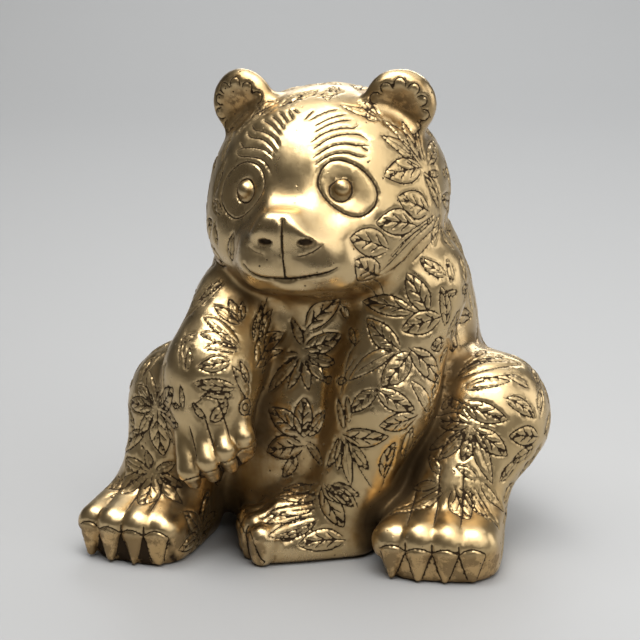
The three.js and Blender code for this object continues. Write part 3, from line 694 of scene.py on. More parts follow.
# face: eye rings, brow strokes, nose and mouth
photo_line([(318, 185), (320, 172), (327, 163), (337, 159.5), (350, 162.5), (362, 169.5), (372, 180), (377.5, 192), (376, 204), (369, 212.5), (358.5, 216.5), (346, 213.5), (334, 206), (324, 196)], 1.35, 1.5, closed=True, taper=False)
photo_line([(220.5, 196), (224, 181), (232, 169), (243, 162), (254, 163), (261.5, 170), (264, 183), (260, 195), (253, 206), (245, 213.5), (236, 218.5), (228, 214.5), (222.5, 206)], 1.2, 1.3, closed=True, taper=False)
photo_line([(236, 152), (240, 156), (249, 156.5), (258, 158), (265, 162), (269, 168), (271, 174)], 0.9, 1.0)
photo_line([(236, 151), (241, 148), (250, 147), (262, 149), (269, 153), (273, 158)], 0.8, 0.95)
for row in ([(293, 109), (298, 112.5)], [(288, 110), (290.5, 115), (293, 119)], [(279, 112.5), (283, 116), (287.5, 123)], [(272, 116), (278, 121), (283.5, 129)],
            [(263, 119.5), (272, 125.5), (280, 135)], [(252, 124.5), (254, 129), (260, 130.5), (268, 133.5), (275, 139), (279.5, 147)], [(247, 131), (250, 136.5), (262, 139), (270, 145), (276, 153)],
            [(240, 142), (243, 147)], [(305, 118.5), (309, 113.5), (313, 110)], [(309, 120), (318, 114.5), (330, 110.5), (338, 109.5)], [(315, 125.5), (325, 120), (336, 116), (346, 114)],
            [(314, 132), (325, 126), (338, 121), (352, 119)], [(311, 142), (322, 134), (335, 129), (346, 127), (354, 127), (358.5, 124)], [(313, 149), (325, 140.5), (338, 135), (350, 133), (361, 134.5), (368, 140)],
            [(313, 158), (322, 151), (333, 145.5), (345, 143.5), (357, 145), (370, 145)], [(362, 146.5), (368, 151)], [(315, 165), (325, 157.5), (335, 153.5), (348, 152.5), (358, 156), (368, 157)]):
    photo_line(row, 1.05, 1.2)
photo_line([(281.5, 220), (281, 230), (281, 240), (281.5, 250), (282.5, 257)], 1.9, 1.7, taper=False)
photo_line([(282, 255), (283.5, 266), (284.5, 275), (285, 280)], 1.4, 1.3, taper=False)
photo_line([(243, 264), (250, 273), (260, 278), (272, 279.5), (285, 279.5), (300, 278.5), (315, 276.5), (328, 273.5), (338, 268)], 2.0, 1.6)
photo_line([(247, 246), (255, 252), (265, 255.5)], 0.5, 1.0, 0.6)
photo_line([(296, 257), (306, 255), (316, 250), (323, 244.5)], 0.6, 1.1, 0.8)


# fine combed strokes behind the cheek, over the crown and down the sides
for row in ([(438, 216), (415, 238), (395, 258), (380, 273)], [(433, 218), (408, 240), (388, 262)], [(440, 222), (420, 243), (402, 262), (385, 274)], [(428, 222), (405, 241), (390, 256)], [(441, 226), (428, 246), (412, 263)],
            [(436, 214), (410, 232), (398, 242)], [(300, 94), (285, 99), (270, 106), (255, 115), (240, 128)], [(297, 101), (282, 106), (268, 112), (252, 122)], [(320, 95), (328, 101)], [(328, 101), (335, 94)],
            [(468, 275), (474, 300), (478, 325), (476, 345)], [(475, 290), (481, 315), (484, 345)], [(462, 272), (468, 290), (472, 310)], [(480, 310), (486, 330), (488, 348)],
            [(222, 277), (210, 288), (195, 303), (183, 318)], [(220, 283), (205, 297), (190, 310)], [(199, 398), (210, 391), (225, 392)], [(190, 408), (210, 392)], [(500, 480), (508, 466), (520, 455)], [(465, 370), (480, 360), (500, 357)],
            [(330, 485), (340, 495), (352, 508)], [(340, 485), (352, 495), (358, 508)], [(318, 490), (290, 505), (265, 513)], [(318, 520), (300, 532), (275, 538)],
            [(378, 300), (372, 290), (362, 284)], [(384, 295), (380, 284), (371, 278)], [(345, 372), (350, 352), (362, 338)], [(340, 395), (345, 375), (356, 356)], [(262, 300), (256, 322), (254, 342)], [(268, 296), (262, 315), (259, 335)],
            [(214, 280), (200, 293), (188, 310), (180, 328)], [(208, 282), (195, 295), (184, 312)], [(226, 282), (213, 295), (203, 306)], [(182, 335), (179, 352), (180, 368)], [(186, 330), (183, 348), (184, 362)],
            [(458, 373), (475, 364), (492, 360)], [(470, 385), (495, 376), (515, 375)], [(160, 352), (150, 362), (142, 376)], [(168, 350), (157, 360), (148, 372)],
            [(318, 483), (298, 486), (280, 493), (266, 503)],
            [(352, 452), (360, 470), (372, 488)], [(395, 455), (388, 470), (382, 488)], [(540, 420), (544, 400), (540, 384)], [(536, 470), (545, 450), (547, 430)]):
    photo_line(row, 0.54, 0.66, 0.76)


# ------------------------------------------------------------------ rings round the eyes, petals in the ears, toes and claws
def ring(centre, normal, r, depth, half):
    n = unit(normal)
    a = unit(np.cross(n, (0, 0, 1)))
    b = np.cross(n, a)
    t = np.linspace(0, 2 * math.pi, 60)
    P = np.asarray(centre) + r * (np.cos(t)[:, None] * a + np.sin(t)[:, None] * b)
    add_line(settle(P, 3), depth, half, 1.0, taper=False)


for e in EYES:
    ec = np.array(e)
    n = unit(ec / np.array(HEAD["r"]) ** 2)
    ring(head_world(ec + n * 0.5), n @ HEAD_M, BALL + 1.6, 1.1, 1.25)


def in_ear(side, el, z, ef=16.0):
    tw = math.radians(EAR["turn"])
    el, z = np.asarray(el, float), np.asarray(z, float)
    x, y = el * math.cos(tw) + ef * math.sin(tw), -el * math.sin(tw) + ef * math.cos(tw)
    return head_world(np.stack([side * (EAR["l"] + x), EAR["f"] + y, EAR["u"] + z], -1))


for side in (-1, 1):
    tw = math.radians(EAR["turn"])
    inward = np.array([-side * math.sin(tw), -math.cos(tw), 0.0]) @ HEAD_M
    for i in range(8):
        mid = math.radians(-52 + 34 * i)
        t = np.linspace(-1, 1, 15)
        ang = mid + t * math.radians(14)
        r = 13.0 + 5.4 * np.sqrt(np.clip(1 - t * t, 0, 1)) + 0.6 * math.sin(i * 2.1)
        lay(in_ear(side, r * np.cos(ang) - 1.0, r * np.sin(ang) - 1.0), inward, 40, 0.8, 0.9)


def paw_world(name, q):
    P, o, M = PAWS[name]
    return np.asarray(q, float) @ M + o


for name, (P, o, M) in PAWS.items():
    rows, w, l, h = toe_rows(P), P["w"], P["l"], P["h"]
    sp = P["pitch"]
    dn, bk = -M[2], -M[1]
    reach = P["reach"] * 0.95
    for i in range(TOES - 1):                               # grooves between the toes, over the top and down to the sole
        xa, xb = (rows[i][0][0][0] + rows[i + 1][0][0][0]) / 2, (rows[i][0][1][0] + rows[i + 1][0][1][0]) / 2
        ff = l * 0.5 - (xb / w) ** 2 * l * 0.30 + P["skew"] * xb
        t = np.linspace(0, 1, 18)
        lay(paw_world(name, np.stack([xa + (xb - xa) * t, ff - reach * l + (reach * l - 9.0) * t, np.full(18, h + 14.0)], 1)), dn, 60, 1.15, 1.15, 0.95)
        z = np.linspace(0.52, 0.36, 6) * h
        lay(paw_world(name, np.stack([np.full(6, xb), np.full(6, ff + 14.0), z], 1)), bk, 40, 1.1, 1.2, 1.0, False)
    for i in range(TOES):                                   # a crease over each claw and its two edges
        x = rows[i][1][0][0]
        ff = l * 0.5 - (x / w) ** 2 * l * 0.30 + P["skew"] * x
        a = np.linspace(-1, 1, 15)
        lay(paw_world(name, np.stack([x + a * sp * 0.48, np.full(15, ff + 14.0), h * (0.485 - 0.075 * a * a)], 1)), bk, 40, 1.0, 0.95)
        for sg in (-1, 1):
            t = np.linspace(0, 1, 12)
            lay(paw_world(name, np.stack([x + sg * (sp * (0.47 - 0.47 * t) + (P["claw"][1] + 0.4) * t), np.full(12, ff + 14.0), h * (0.38 - 0.34 * t)], 1)), bk, 40, 0.8, 0.9, 1.0)

draw_plans()
lay_all()
spot = on_photo([(245.5, 407)])[0]                          # the small coil on the hanging wrist
ring(spot, normals(spot[None])[0], 5.0, 0.8, 0.85)
ring(spot, normals(spot[None])[0], 2.3, 0.7, 0.8)


# ------------------------------------------------------------------ base skin
def log(*a):
    print("[bear]", *a, flush=True)


verts, tris, fixed = surface((-152.2, -137.7, -5.9), (153, 126, 303), 5.05)
free = ~fixed
verts[free] = settle(verts[free], 3)
log("base", len(verts), len(tris))

# sprays on the sides that the photograph does not show, in keeping and plainer
def crowded(P, r):
    kd = KDTree(sum(len(x[0]) for x in LINES))
    i = 0
    for x in LINES:
        for p in x[0]:
            kd.insert(p, i)
            i += 1
    kd.balance()
    return np.array([kd.find(p)[2] for p in P]) if len(P) else np.zeros(0)


def plain_zone(P, N):
    """places that stay smooth: face, inner ears, toes, soles and tight folds"""
    q = head_local(P)
    bad = (q[:, 1] > 22) & (np.abs(q[:, 0]) < 50) & (q[:, 2] < 58) & (q[:, 2] > -60) & (P[:, 2] > 150)
    bad |= (np.abs(np.hypot(np.abs(q[:, 0]) - EAR["l"], q[:, 2] - EAR["u"])) < 30) & (q[:, 2] > 34)
    bad |= (P[:, 2] < 9) | (N[:, 2] < -0.55)
    for P_, o, M in PAWS.values():
        r = (P - o) @ M.T
        bad |= (np.abs(r[:, 0]) < P_["w"] * 0.75) & (r[:, 1] > P_["l"] * 0.12) & (r[:, 1] < P_["l"] * 0.75) & (r[:, 2] < P_["h"] * 1.3) & (r[:, 2] > -12)
    open_ = chunks(skin, P + N * 9.0)
    return bad | (open_ < 6.5)


nrm = normals(verts)
okay = ~plain_zone(verts, nrm)
pool = np.nonzero(okay)[0]
rng.shuffle(pool)
for gap, size, count in ((27.0, 26.0, 6), (18.0, 21.0, 5), (13.0, 17.0, 2), (9.5, 13.0, 2)):
    if gap < 10:                                            # the closest filling is only on the side in the photograph
        pool = pool[nrm[pool] @ BACK > 0.15]
    dist = crowded(verts[pool], gap)
    taken, STEMS = [], []
    for i, d in zip(pool, dist):
        p = verts[i]
        if d < gap * 0.86 or any(np.linalg.norm(p - t) < gap * 1.72 for t in taken):
            continue
        taken.append(p)
        n = nrm[i]
        a = unit(np.cross(n, rng.normal(size=3)))
        b = np.cross(n, a)
        turn = rng.uniform(0, 2 * math.pi)
        for k in range(count):
            th = turn + 2 * math.pi * (k + rng.uniform(-0.12, 0.12)) / count
            u = math.cos(th) * a + math.sin(th) * b
            L = size * rng.uniform(0.88, 1.15)
            STEMS.append((p + u * 2.5, p + u * (2.5 + L), L * rng.uniform(0.32, 0.46), rng.uniform(-0.07, 0.07)))
    if STEMS:
        ends = settle(np.array([x[0] for x in STEMS] + [x[1] for x in STEMS]), 4)
        for k, x in enumerate(STEMS):
            LEAVES.append((ends[k], ends[len(STEMS) + k], x[2], 2 if size > 19 else 1, x[3], False))
        draw_leaves()
log("lines", len(LINES), "length m", round(sum(np.linalg.norm(np.diff(x[0], axis=0), axis=1).sum() for x in LINES) / 1000, 2))

LP = np.concatenate([x[0] for x in LINES])
LD = np.concatenate([x[1] for x in LINES])
LH = np.concatenate([x[2] for x in LINES])
LK = np.concatenate([x[3] for x in LINES])
LT = np.concatenate([np.gradient(x[0], axis=0) if len(x[0]) > 1 else np.zeros((1, 3)) for x in LINES])
LT /= np.maximum(np.linalg.norm(LT, axis=1, keepdims=True), 1e-9)
FINE, PLAIN = 1.35, 2.2
tree = KDTree(len(LP))
for i, p in enumerate(LP):
    tree.insert(p, i)
tree.balance()


def nearest(P):
    r = [tree.find(p) for p in P]
    return np.array([x[1] for x in r], np.int64), np.array([x[2] for x in r])


# ------------------------------------------------------------------ refine: first by curvature, then along the lines
for _ in range(3):
    E, te = edge_table(tris, len(verts))
    n = normals(verts)
    L = np.linalg.norm(verts[E[:, 0]] - verts[E[:, 1]], axis=1)
    turn = (n[E[:, 0]] * n[E[:, 1]]).sum(1)
    mark = (turn < math.cos(math.radians(15))) & (L > 2.3)
    if not mark.any():
        break
    verts, tris, mid = split(verts, tris, mark, E, te)
    fixed = np.concatenate([fixed, np.zeros(len(mid), bool)])
    verts[-len(mid):] = settle(mid, 2)
    tris = flip(verts, tris)
verts = relax(verts, tris, fixed, 0.5)
verts[~fixed] = settle(verts[~fixed], 2)
log("curved", len(tris))

for step in range(4):
    E, te = edge_table(tris, len(verts))
    mid = (verts[E[:, 0]] + verts[E[:, 1]]) / 2
    L = np.linalg.norm(verts[E[:, 0]] - verts[E[:, 1]], axis=1)
    seen = face_normals(verts, tris)[E[:, 0]] @ BACK > 0.0
    best = np.where(seen, FINE, PLAIN)                     # the side in the photograph is the finer
    maybe = np.nonzero(L > best * 1.3)[0]
    i, d = nearest(mid[maybe])
    goal = np.clip(best[maybe] + 1.2 * (d - LH[i] * 0.8 - 0.1), best[maybe], 9.0)
    mark = np.zeros(len(E), bool)
    mark[maybe] = L[maybe] > 1.33 * goal
    if not mark.any():
        break
    verts, tris, mid = split(verts, tris, mark, E, te)
    fixed = np.concatenate([fixed, np.zeros(len(mid), bool)])
    verts[-len(mid):] = settle(mid, 2)
    tris = flip(verts, tris, 3)
    log("step", step, len(tris))
verts = relax(verts, tris, fixed, 0.4)
tris = flip(verts, tris, 2)
verts[~fixed] = settle(verts[~fixed], 1)

# bring the nearest vertices on to the line centres
i, d = nearest(verts)
want = np.nonzero((d < 0.50) & ~fixed)[0]
want = want[np.argsort(d[want], kind="stable")]
_, first = np.unique(i[want] // 2, return_index=True)
want = want[first]
moved = verts.copy()
moved[want] = LP[i[want]]
old = np.cross(verts[tris[:, 1]] - verts[tris[:, 0]], verts[tris[:, 2]] - verts[tris[:, 0]])
new = np.cross(moved[tris[:, 1]] - moved[tris[:, 0]], moved[tris[:, 2]] - moved[tris[:, 0]])
bad = (old * new).sum(1) < 0.15 * (old * old).sum(1)
back = np.zeros(len(verts), bool)
back[tris[bad].ravel()] = True
moved[back] = verts[back]
verts = moved
tris = flip(verts, tris, 2)
log("snapped", len(tris))

# then cut every remaining edge where a line crosses it, so that each line is an unbroken run of edges
for step in range(2):
    E, te = edge_table(tris, len(verts))
    A, B = verts[E[:, 0]], verts[E[:, 1]]
    L = np.linalg.norm(B - A, axis=1)
    i, d = nearest((A + B) / 2)
    maybe = np.nonzero((d < L * 0.5 + 0.2) & (L > 0.7) & ~(fixed[E[:, 0]] & fixed[E[:, 1]]))[0]
    A, B, L = A[maybe], B[maybe], L[maybe]
    i, d = i[maybe], d[maybe]
    for t in (0.15, 0.27, 0.38, 0.62, 0.73, 0.85):
        j, e = nearest(A + t * (B - A))
        closer = e < d
        i[closer], d[closer] = j[closer], e[closer]
    n = face_normals(verts, tris)
    n = n[E[maybe, 0]] + n[E[maybe, 1]]
    side = np.cross(n, LT[i])
    side /= np.maximum(np.linalg.norm(side, axis=1, keepdims=True), 1e-9)
    sa, sb = ((A - LP[i]) * side).sum(1), ((B - LP[i]) * side).sum(1)
    t = sa / np.where(np.abs(sa - sb) > 1e-6, sa - sb, 1)
    x = A + t[:, None] * (B - A)
    along = ((x - LP[i]) * LT[i]).sum(1)
    good = (sa * sb < 0) & (np.minimum(np.abs(sa), np.abs(sb)) > 0.22) & (np.abs(along) < 0.42) & (np.linalg.norm(x - LP[i], axis=1) < 0.6)
    mark = np.zeros(len(E), bool)
    mark[maybe[good]] = True
    if not mark.any():
        break
    place = np.zeros((len(E), 3))
    place[maybe[good]] = LP[i[good]] + LT[i[good]] * along[good, None]
    verts, tris, mid = split(verts, tris, mark, E, te)
    verts[-len(mid):] = place[mark]
    fixed = np.concatenate([fixed, np.zeros(len(mid), bool)])
    log("crossed", step, len(tris))
i, d = nearest(verts)
tris = flip(verts, tris, 2, d < 0.24)
log("fine", len(verts), len(tris))

# ------------------------------------------------------------------ displacement: hand-worked waviness, leaf bodies, chased lines
base_n = normals(verts)
i, d = nearest(verts)


def waves(P, length, count, seed):
    g = np.random.default_rng(seed)
    k = g.normal(size=(count, 3))
    k *= (2 * math.pi / length) / np.linalg.norm(k, axis=1, keepdims=True) * g.uniform(0.7, 1.4, (count, 1))
    return np.sin(P @ k.T + g.uniform(0, 2 * math.pi, count)).sum(1) / math.sqrt(count)


ground = np.clip((verts[:, 2] - 1.0) / 6.0, 0, 1)
lift = (0.26 * waves(verts, 34.0, 14, 3) + 0.10 * waves(verts, 13.0, 14, 4)) * ground
pad = np.zeros(len(verts))
near = KDTree(len(verts))
for k, p in enumerate(verts):
    near.insert(p, k)
near.balance()
for a, b, s, n, w, bend in PADS:
    L = np.linalg.norm(b - a)
    c = (b - a) / L
    ids = np.array([x[1] for x in near.find_range((a + b) / 2, L * 0.55)], np.int64)
    if not len(ids):
        continue
    q = verts[ids] - a
    t, x, z = q @ c / L, q @ s, q @ n
    x = x - bend * L * 4 * t * (1 - t)
    f = np.maximum(blade(t) * w / 2, 1e-6)
    inside = (t > 0) & (t < 1) & (np.abs(x) < f) & (base_n[ids] @ n > 0.2)
    pad[ids[inside]] = np.maximum(pad[ids[inside]], (1 - (x[inside] / f[inside]) ** 2) * np.minimum(f[inside] / 4.0, 1.0))
cut = np.clip(1 - d / LH[i], 0, 1)
cut = cut * cut * (3 - 2 * cut)
lip = np.exp(-((d - LH[i] * 1.25) / 0.5) ** 2) * 0.10
depth = LD[i] * cut
gape = np.zeros(len(verts))                                 # the hollows between the claws, pushed in and painted dark: partly patina, partly painted shade
GAPE = {"foot_l": 0.42, "foot_r": 1.0, "hand_l": 0.7, "hand_r": 0.7}
for name, (P, o, M) in PAWS.items():
    r, h, sp = (verts - o) @ M.T, P["h"], P["pitch"]
    front = (r[:, 1] > P["l"] * 0.33) & (base_n @ M[1] > 0.25) & (r[:, 2] < 0.42 * h) & (r[:, 2] > -3)
    wide = 0.34 * sp * np.clip((0.41 * h - r[:, 2]) / (0.41 * h), 0, 1) ** 0.9
    for k in range(-1, TOES):
        away = np.abs(r[:, 0] - (k + 0.5 - (TOES - 1) / 2) * sp)
        inner = 1.0 if 0 <= k < TOES - 1 else 0.5
        gape = np.maximum(gape, GAPE[name] * np.clip(1.8 * inner * front * np.clip(1.15 - away / np.maximum(wide, 0.3), 0, 1), 0, 1))
drop = lift + 0.42 * pad + lip * ground - depth - 1.5 * gape * (verts[:, 2] > 1.5)
final = verts + base_n * (drop * np.where(verts[:, 2] < 0.4, 0.0, 1.0))[:, None]
final[:, 2] = np.maximum(final[:, 2], 0.0)
final[verts[:, 2] < 0.05, 2] = 0.0
E, te = edge_table(tris, len(final))                        # two neighbours that fell on one point are drawn apart
for a, b in E[np.linalg.norm(final[E[:, 0]] - final[E[:, 1]], axis=1) < 0.03]:
    around = np.unique(tris[(tris == b).any(1)])
    if final[b, 2] > 0.4:
        final[b] += 0.3 * (final[around].mean(0) - final[b])

# ------------------------------------------------------------------ tone maps held on the mesh
def openness(P, N):
    o = np.ones(len(P))
    for r, w in ((4.0, 0.35), (10.0, 0.4), (22.0, 0.45)):
        o -= w * np.clip(1 - chunks(skin, P + N * r) / r, 0, 1)
    return np.clip(o, 0, 1)


shade = openness(verts, base_n)
# the claw hollows join the cut lines in the dark mask; that dark is partly patina and partly painted shade in the V
# gaps
groove = np.clip(np.maximum(cut * LK[i] * 1.05, 0.84 * gape), 0, 1)
halo = np.exp(-np.maximum(d - LH[i] * 0.6, 0) / 1.6)
q = head_local(verts)
side = np.stack([np.abs(q[:, 0] - MUZZLE["l"]), q[:, 1], q[:, 2]], 1)
# painted shade: the nostril walls are coloured near black, standing in for the shade inside the holes
nostril_shade = np.clip(1.2 - np.abs(ellipsoid(side, NOSTRIL["c"], NOSTRIL["r"])) / 0.7, 0, 1)
tw = math.radians(EAR["turn"])
x, y, z = np.abs(q[:, 0]) - EAR["l"], q[:, 1] - EAR["f"], q[:, 2] - EAR["u"]
el, ef = x * math.cos(tw) - y * math.sin(tw), x * math.sin(tw) + y * math.cos(tw)
cup = ellipsoid(np.stack([el, ef, z], 1), (-3, EAR["t"] + 4.0, -4), (EAR["cup"] + 4.5, 9.5, EAR["cup"] + 4.5))
cupped = np.clip(1.2 - np.abs(cup) / 1.5, 0, 1) * np.clip((7.5 - ef) / 5.0, 0, 1) * (np.hypot(el, z) < 24)
for name, (P, o, M) in PAWS.items():                        # tarnish left on and between the claws
    r, h = (verts - o) @ M.T, P["h"]
    zone = (r[:, 1] > P["l"] * 0.30) & (base_n @ M[1] > 0.1) & (np.abs(r[:, 0]) < 0.7 * P["w"]) & (r[:, 2] > -3)
    cupped = np.maximum(cupped, 0.5 * zone * np.clip((0.46 * h - r[:, 2]) / (0.08 * h), 0, 1))
log("attributes")

me = bpy.data.meshes.new("bear_casting")
pts = (final + SHIFT) / 1000.0
me.vertices.add(len(pts))
me.vertices.foreach_set("co", pts.astype(np.float32).ravel())
me.loops.add(len(tris) * 3)
me.loops.foreach_set("vertex_index", tris.astype(np.int32).ravel())
me.polygons.add(len(tris))
me.polygons.foreach_set("loop_start", np.arange(0, len(tris) * 3, 3, dtype=np.int32))
me.polygons.foreach_set("use_smooth", np.ones(len(tris), bool))
me.update(calc_edges=True)
me.validate()
for name, data in (("groove", groove), ("shade", shade), ("pad", pad), ("halo", halo), ("nostril_shade", nostril_shade), ("cupped", cupped)):
    at = me.attributes.new(name, "FLOAT", "POINT")
    at.data.foreach_set("value", data.astype(np.float32))
bear_ob = bpy.data.objects.new("bear_casting", me)
bpy.context.scene.collection.objects.link(bear_ob)
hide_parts("bear")
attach(bear_ob, "root")


# ------------------------------------------------------------------ bronze
def bronze():
    mat = bpy.data.materials.new("bronze")
    mat.use_nodes = True
    nt = mat.node_tree
    nt.nodes.clear()
    N = lambda kind: nt.nodes.new(kind)
    link = lambda a, b: nt.links.new(a, b)
    out, bsdf = N("ShaderNodeOutputMaterial"), N("ShaderNodeBsdfPrincipled")
    link(bsdf.outputs["BSDF"], out.inputs["Surface"])
    geo = N("ShaderNodeNewGeometry")
    tex = N("ShaderNodeTexCoord")

    def attr(name):
        a = N("ShaderNodeAttribute")
        a.attribute_name = name
        return a.outputs["Fac"]

    def math_(op, a, b=None, clamp=False):
        m = N("ShaderNodeMath")
        m.operation = op
        m.use_clamp = clamp
        for k, v in enumerate((a, b)):
            if v is None:
                continue
            if isinstance(v, (int, float)):
                m.inputs[k].default_value = v
            else:
                link(v, m.inputs[k])
        return m.outputs[0]

    def remap(v, a, b, c=0.0, d=1.0):
        m = N("ShaderNodeMapRange")
        m.clamp = True
        link(v, m.inputs["Value"])
        for k, x in (("From Min", a), ("From Max", b), ("To Min", c), ("To Max", d)):
            m.inputs[k].default_value = x
        return m.outputs["Result"]

    def noise(scale, detail=3.0, rough=0.55, stretch=None):
        n = N("ShaderNodeTexNoise")
        n.inputs["Scale"].default_value = scale
        n.inputs["Detail"].default_value = detail
        n.inputs["Roughness"].default_value = rough
        if stretch:
            mp = N("ShaderNodeMapping")
            mp.inputs["Scale"].default_value = stretch
            link(tex.outputs["Object"], mp.inputs["Vector"])
            link(mp.outputs["Vector"], n.inputs["Vector"])
        else:
            link(tex.outputs["Object"], n.inputs["Vector"])
        return n.outputs["Fac"]

    def mix(fac, a, b):
        m = N("ShaderNodeMix")
        m.data_type = "RGBA"
        link(fac, m.inputs[0])
        for k, v in ((6, a), (7, b)):
            if isinstance(v, tuple):
                m.inputs[k].default_value = (*v, 1)
            else:
                link(v, m.inputs[k])
        return m.outputs[2]

    groove_, shade_, pad_, halo_, nostril_shade_, cupped_ = (attr(k) for k in ("groove", "shade", "pad", "halo", "nostril_shade", "cupped"))
    broad, fine = noise(14, 4.0, 0.6), noise(95, 4.0, 0.6)
    # worn gold where the polish reaches, browner tarnish between
    gold = mix(remap(broad, 0.35, 0.70), (0.66, 0.50, 0.28), (0.56, 0.41, 0.205))
    tarnish = math_("MULTIPLY", remap(fine, 0.42, 0.70), remap(shade_, 0.95, 0.45), True)
    col = mix(tarnish, gold, (0.40, 0.225, 0.070))
    # hollows and creases pulled towards dark brown by openness: partly patina, partly painted shade
    col = mix(math_("MULTIPLY", remap(shade_, 0.85, 0.35), 0.75, True), col, (0.235, 0.140, 0.052))
    # dark patina in the cut lines and thinner around them; in the folds a darkening by openness, partly patina and
    # partly painted shade
    ragged = math_("ADD", groove_, math_("MULTIPLY", math_("SUBTRACT", fine, 0.5), 0.35))
    deep = remap(ragged, 0.32, 0.72)
    film = math_("MULTIPLY", math_("MULTIPLY", halo_, remap(fine, 0.35, 0.75)), 0.30, True)
    fold_patina_and_shade = math_("MULTIPLY", remap(shade_, 0.56, 0.16), remap(broad, 0.25, 0.65, 0.5, 1.0), True)
    # small casting pits
    vor = N("ShaderNodeTexVoronoi")
    vor.inputs["Scale"].default_value = 230.0
    link(tex.outputs["Object"], vor.inputs["Vector"])
    cell = N("ShaderNodeSeparateColor")
    link(vor.outputs["Color"], cell.inputs["Color"])
    chosen = math_("GREATER_THAN", cell.outputs[0], 0.80)
    patch = remap(noise(22, 2.0), 0.43, 0.58)
    pit = math_("MULTIPLY", math_("MULTIPLY", remap(vor.outputs["Distance"], 0.20, 0.09), chosen), patch, True)
    dark = math_("MAXIMUM", math_("MAXIMUM", deep, math_("MULTIPLY", fold_patina_and_shade, 0.9)), pit)
    # the nostril holes painted near black as shade
    dark = math_("MAXIMUM", math_("MAXIMUM", dark, film), nostril_shade_)
    blotch = remap(noise(85, 6.0, 0.7), 0.45, 0.53)
    dark = math_("MAXIMUM", dark, math_("MULTIPLY", math_("MULTIPLY", cupped_, blotch), 1.0, True))
    col = mix(math_("MULTIPLY", cupped_, 0.7, True), col, (0.46, 0.235, 0.06))
    base = mix(dark, col, (0.038, 0.023, 0.011))
    link(base, bsdf.inputs["Base Color"])
    link(remap(dark, 0.0, 1.0, 1.0, 0.25), bsdf.inputs["Metallic"])
    rough = math_("ADD", remap(broad, 0.3, 0.7, 0.215, 0.30), remap(fine, 0.3, 0.75, 0.0, 0.09))
    rough = math_("ADD", rough, math_("MULTIPLY", dark, 0.34), True)
    link(rough, bsdf.inputs["Roughness"])
    bsdf.inputs["Specular IOR Level"].default_value = 0.12
    # hand-polished surface: faint scratches and a slight orange peel
    scratch = noise(260, 2.0, 0.5, (1.0, 0.16, 0.5))
    height = math_("ADD", math_("MULTIPLY", scratch, 0.30), math_("MULTIPLY", fine, 0.55))
    height = math_("SUBTRACT", height, math_("MULTIPLY", pit, 1.6))
    bump = N("ShaderNodeBump")
    bump.inputs["Strength"].default_value = 0.22
    bump.inputs["Distance"].default_value = 0.0012
    link(height, bump.inputs["Height"])
    link(bump.outputs["Normal"], bsdf.inputs["Normal"])
    return mat


me.materials.append(bronze())


# ------------------------------------------------------------------ studio
def plain(name, color, rough):
    m = bpy.data.materials.new(name)
    m.use_nodes = True
    b = m.node_tree.nodes["Principled BSDF"]
    b.inputs["Base Color"].default_value = (*color, 1)
    b.inputs["Roughness"].default_value = rough
    b.inputs["Specular IOR Level"].default_value = 0.3
    return m


def sweep():
    """a pale floor that curves up into a backdrop, darkened towards the front and the far left as painted shade"""
    prof = [(-3.0, 0.0), (-1.1, 0.0), (-0.55, 0.0), (1.3, 0.0)]
    for k in range(1, 13):
        t = math.radians(90 * k / 12)
        prof.append((1.3 + 0.9 * math.sin(t), 0.9 - 0.9 * math.cos(t)))
    prof.append((2.2, 2.6))
    xs = (-2.6, 2.6)
    m = bpy.data.meshes.new("floor")
    vs = [(x, y, z - 0.0002) for x in xs for y, z in prof]
    n = len(prof)
    m.from_pydata(vs, [], [(k, n + k, n + k + 1, k + 1) for k in range(n - 1)])
    for p in m.polygons:
        p.use_smooth = True
    ob = bpy.data.objects.new("floor", m)
    bpy.context.scene.collection.objects.link(ob)
    ob.rotation_euler = (0, 0, math.radians(VIEW["az"]))
    mat = plain("floor", (0.305, 0.307, 0.310), 0.55)
    nt = mat.node_tree
    # painted shade: the floor colour fades to near black towards the camera and the far left, in place of light falling
    # off
    tex, sep, ramp, mixed = (nt.nodes.new(k) for k in ("ShaderNodeTexCoord", "ShaderNodeSeparateXYZ", "ShaderNodeMapRange", "ShaderNodeMix"))
    nt.links.new(tex.outputs["Object"], sep.inputs["Vector"])
    nt.links.new(sep.outputs["Y"], ramp.inputs["Value"])
    ramp.interpolation_type = "SMOOTHSTEP"
    ramp.inputs["From Min"].default_value, ramp.inputs["From Max"].default_value = -1.0, -0.34
    mixed.data_type = "RGBA"
    mixed.inputs[6].default_value, mixed.inputs[7].default_value = (0.10, 0.10, 0.10, 1), (0.325, 0.328, 0.332, 1)
    left, painted_falloff = nt.nodes.new("ShaderNodeMapRange"), nt.nodes.new("ShaderNodeMath")
    nt.links.new(sep.outputs["X"], left.inputs["Value"])
    left.interpolation_type = "SMOOTHSTEP"
    left.inputs["From Min"].default_value, left.inputs["From Max"].default_value = -1.5, -0.6
    painted_falloff.operation = "MULTIPLY"
    nt.links.new(ramp.outputs["Result"], painted_falloff.inputs[0])
    nt.links.new(left.outputs["Result"], painted_falloff.inputs[1])
    nt.links.new(painted_falloff.outputs[0], mixed.inputs[0])
    nt.links.new(mixed.outputs[2], nt.nodes["Principled BSDF"].inputs["Base Color"])
    m.materials.append(mat)


sweep()


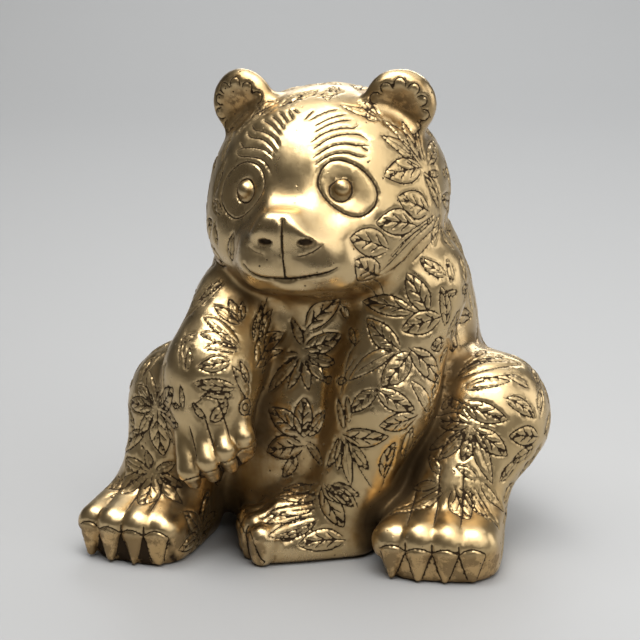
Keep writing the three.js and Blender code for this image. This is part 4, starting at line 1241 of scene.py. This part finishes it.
def area(name, where, at, size, power, color=(1, 1, 1), size_y=None):
    d = bpy.data.lights.new(name, "AREA")
    d.shape = "RECTANGLE"
    d.size, d.size_y = size, size_y or size
    d.energy = power
    d.color = color
    o = bpy.data.objects.new(name, d)
    bpy.context.scene.collection.objects.link(o)
    o.location = where
    o.rotation_euler = (Vector(at) - Vector(where)).to_track_quat("-Z", "Y").to_euler()
    return o


def from_view(r, u, b, dist):
    """a place given by right, up and towards-camera parts of the photograph's view"""
    d = unit(r * RIGHT + u * UP + b * BACK)
    return Vector((np.array((0, 0, 0.14)) + d * dist).tolist())


mid_ = (0.0, 0.0, 0.14)
area("key", from_view(-0.12, 0.84, 0.36, 1.7), mid_, 1.7, 36, (1.0, 0.99, 0.97), 1.1)
area("overhead", from_view(0.05, 0.94, 0.10, 2.3), mid_, 3.2, 34, (1.0, 0.99, 0.98), 2.4)
area("front_right", from_view(0.62, 0.40, 0.68, 1.8), mid_, 1.5, 10.5, (1.0, 0.99, 0.97), 1.4)
area("front", from_view(0.12, 0.60, 0.79, 1.9), mid_, 1.4, 9, (1.0, 0.99, 0.97), 0.9)
area("fill_right", from_view(0.95, 0.20, -0.10, 1.8), mid_, 1.0, 8, (1.0, 0.99, 0.98), 1.5)
area("back", from_view(0.2, 0.75, -0.75, 2.0), mid_, 1.6, 14, (0.95, 0.98, 1.0), 0.6)

world = bpy.data.worlds.new("room")
bpy.context.scene.world = world
world.use_nodes = True
world.node_tree.nodes["Background"].inputs["Color"].default_value = (0.68, 0.62, 0.54, 1)
world.node_tree.nodes["Background"].inputs["Strength"].default_value = 0.13

cam = bpy.data.cameras.new("camera")
cam.sensor_width = 36.0
cam.lens = VIEW["f"] * 36.0 / 640.0
cam.clip_end = 50.0
cam_ob = bpy.data.objects.new("camera", cam)
bpy.context.scene.collection.objects.link(cam_ob)
cam_ob.location = ((EYE_AT + SHIFT) / 1000.0).tolist()
cam_ob.rotation_euler = Vector(BACK.tolist()).to_track_quat("Z", "Y").to_euler()
bpy.context.scene.camera = cam_ob
bpy.context.scene.view_settings.view_transform = "Standard"
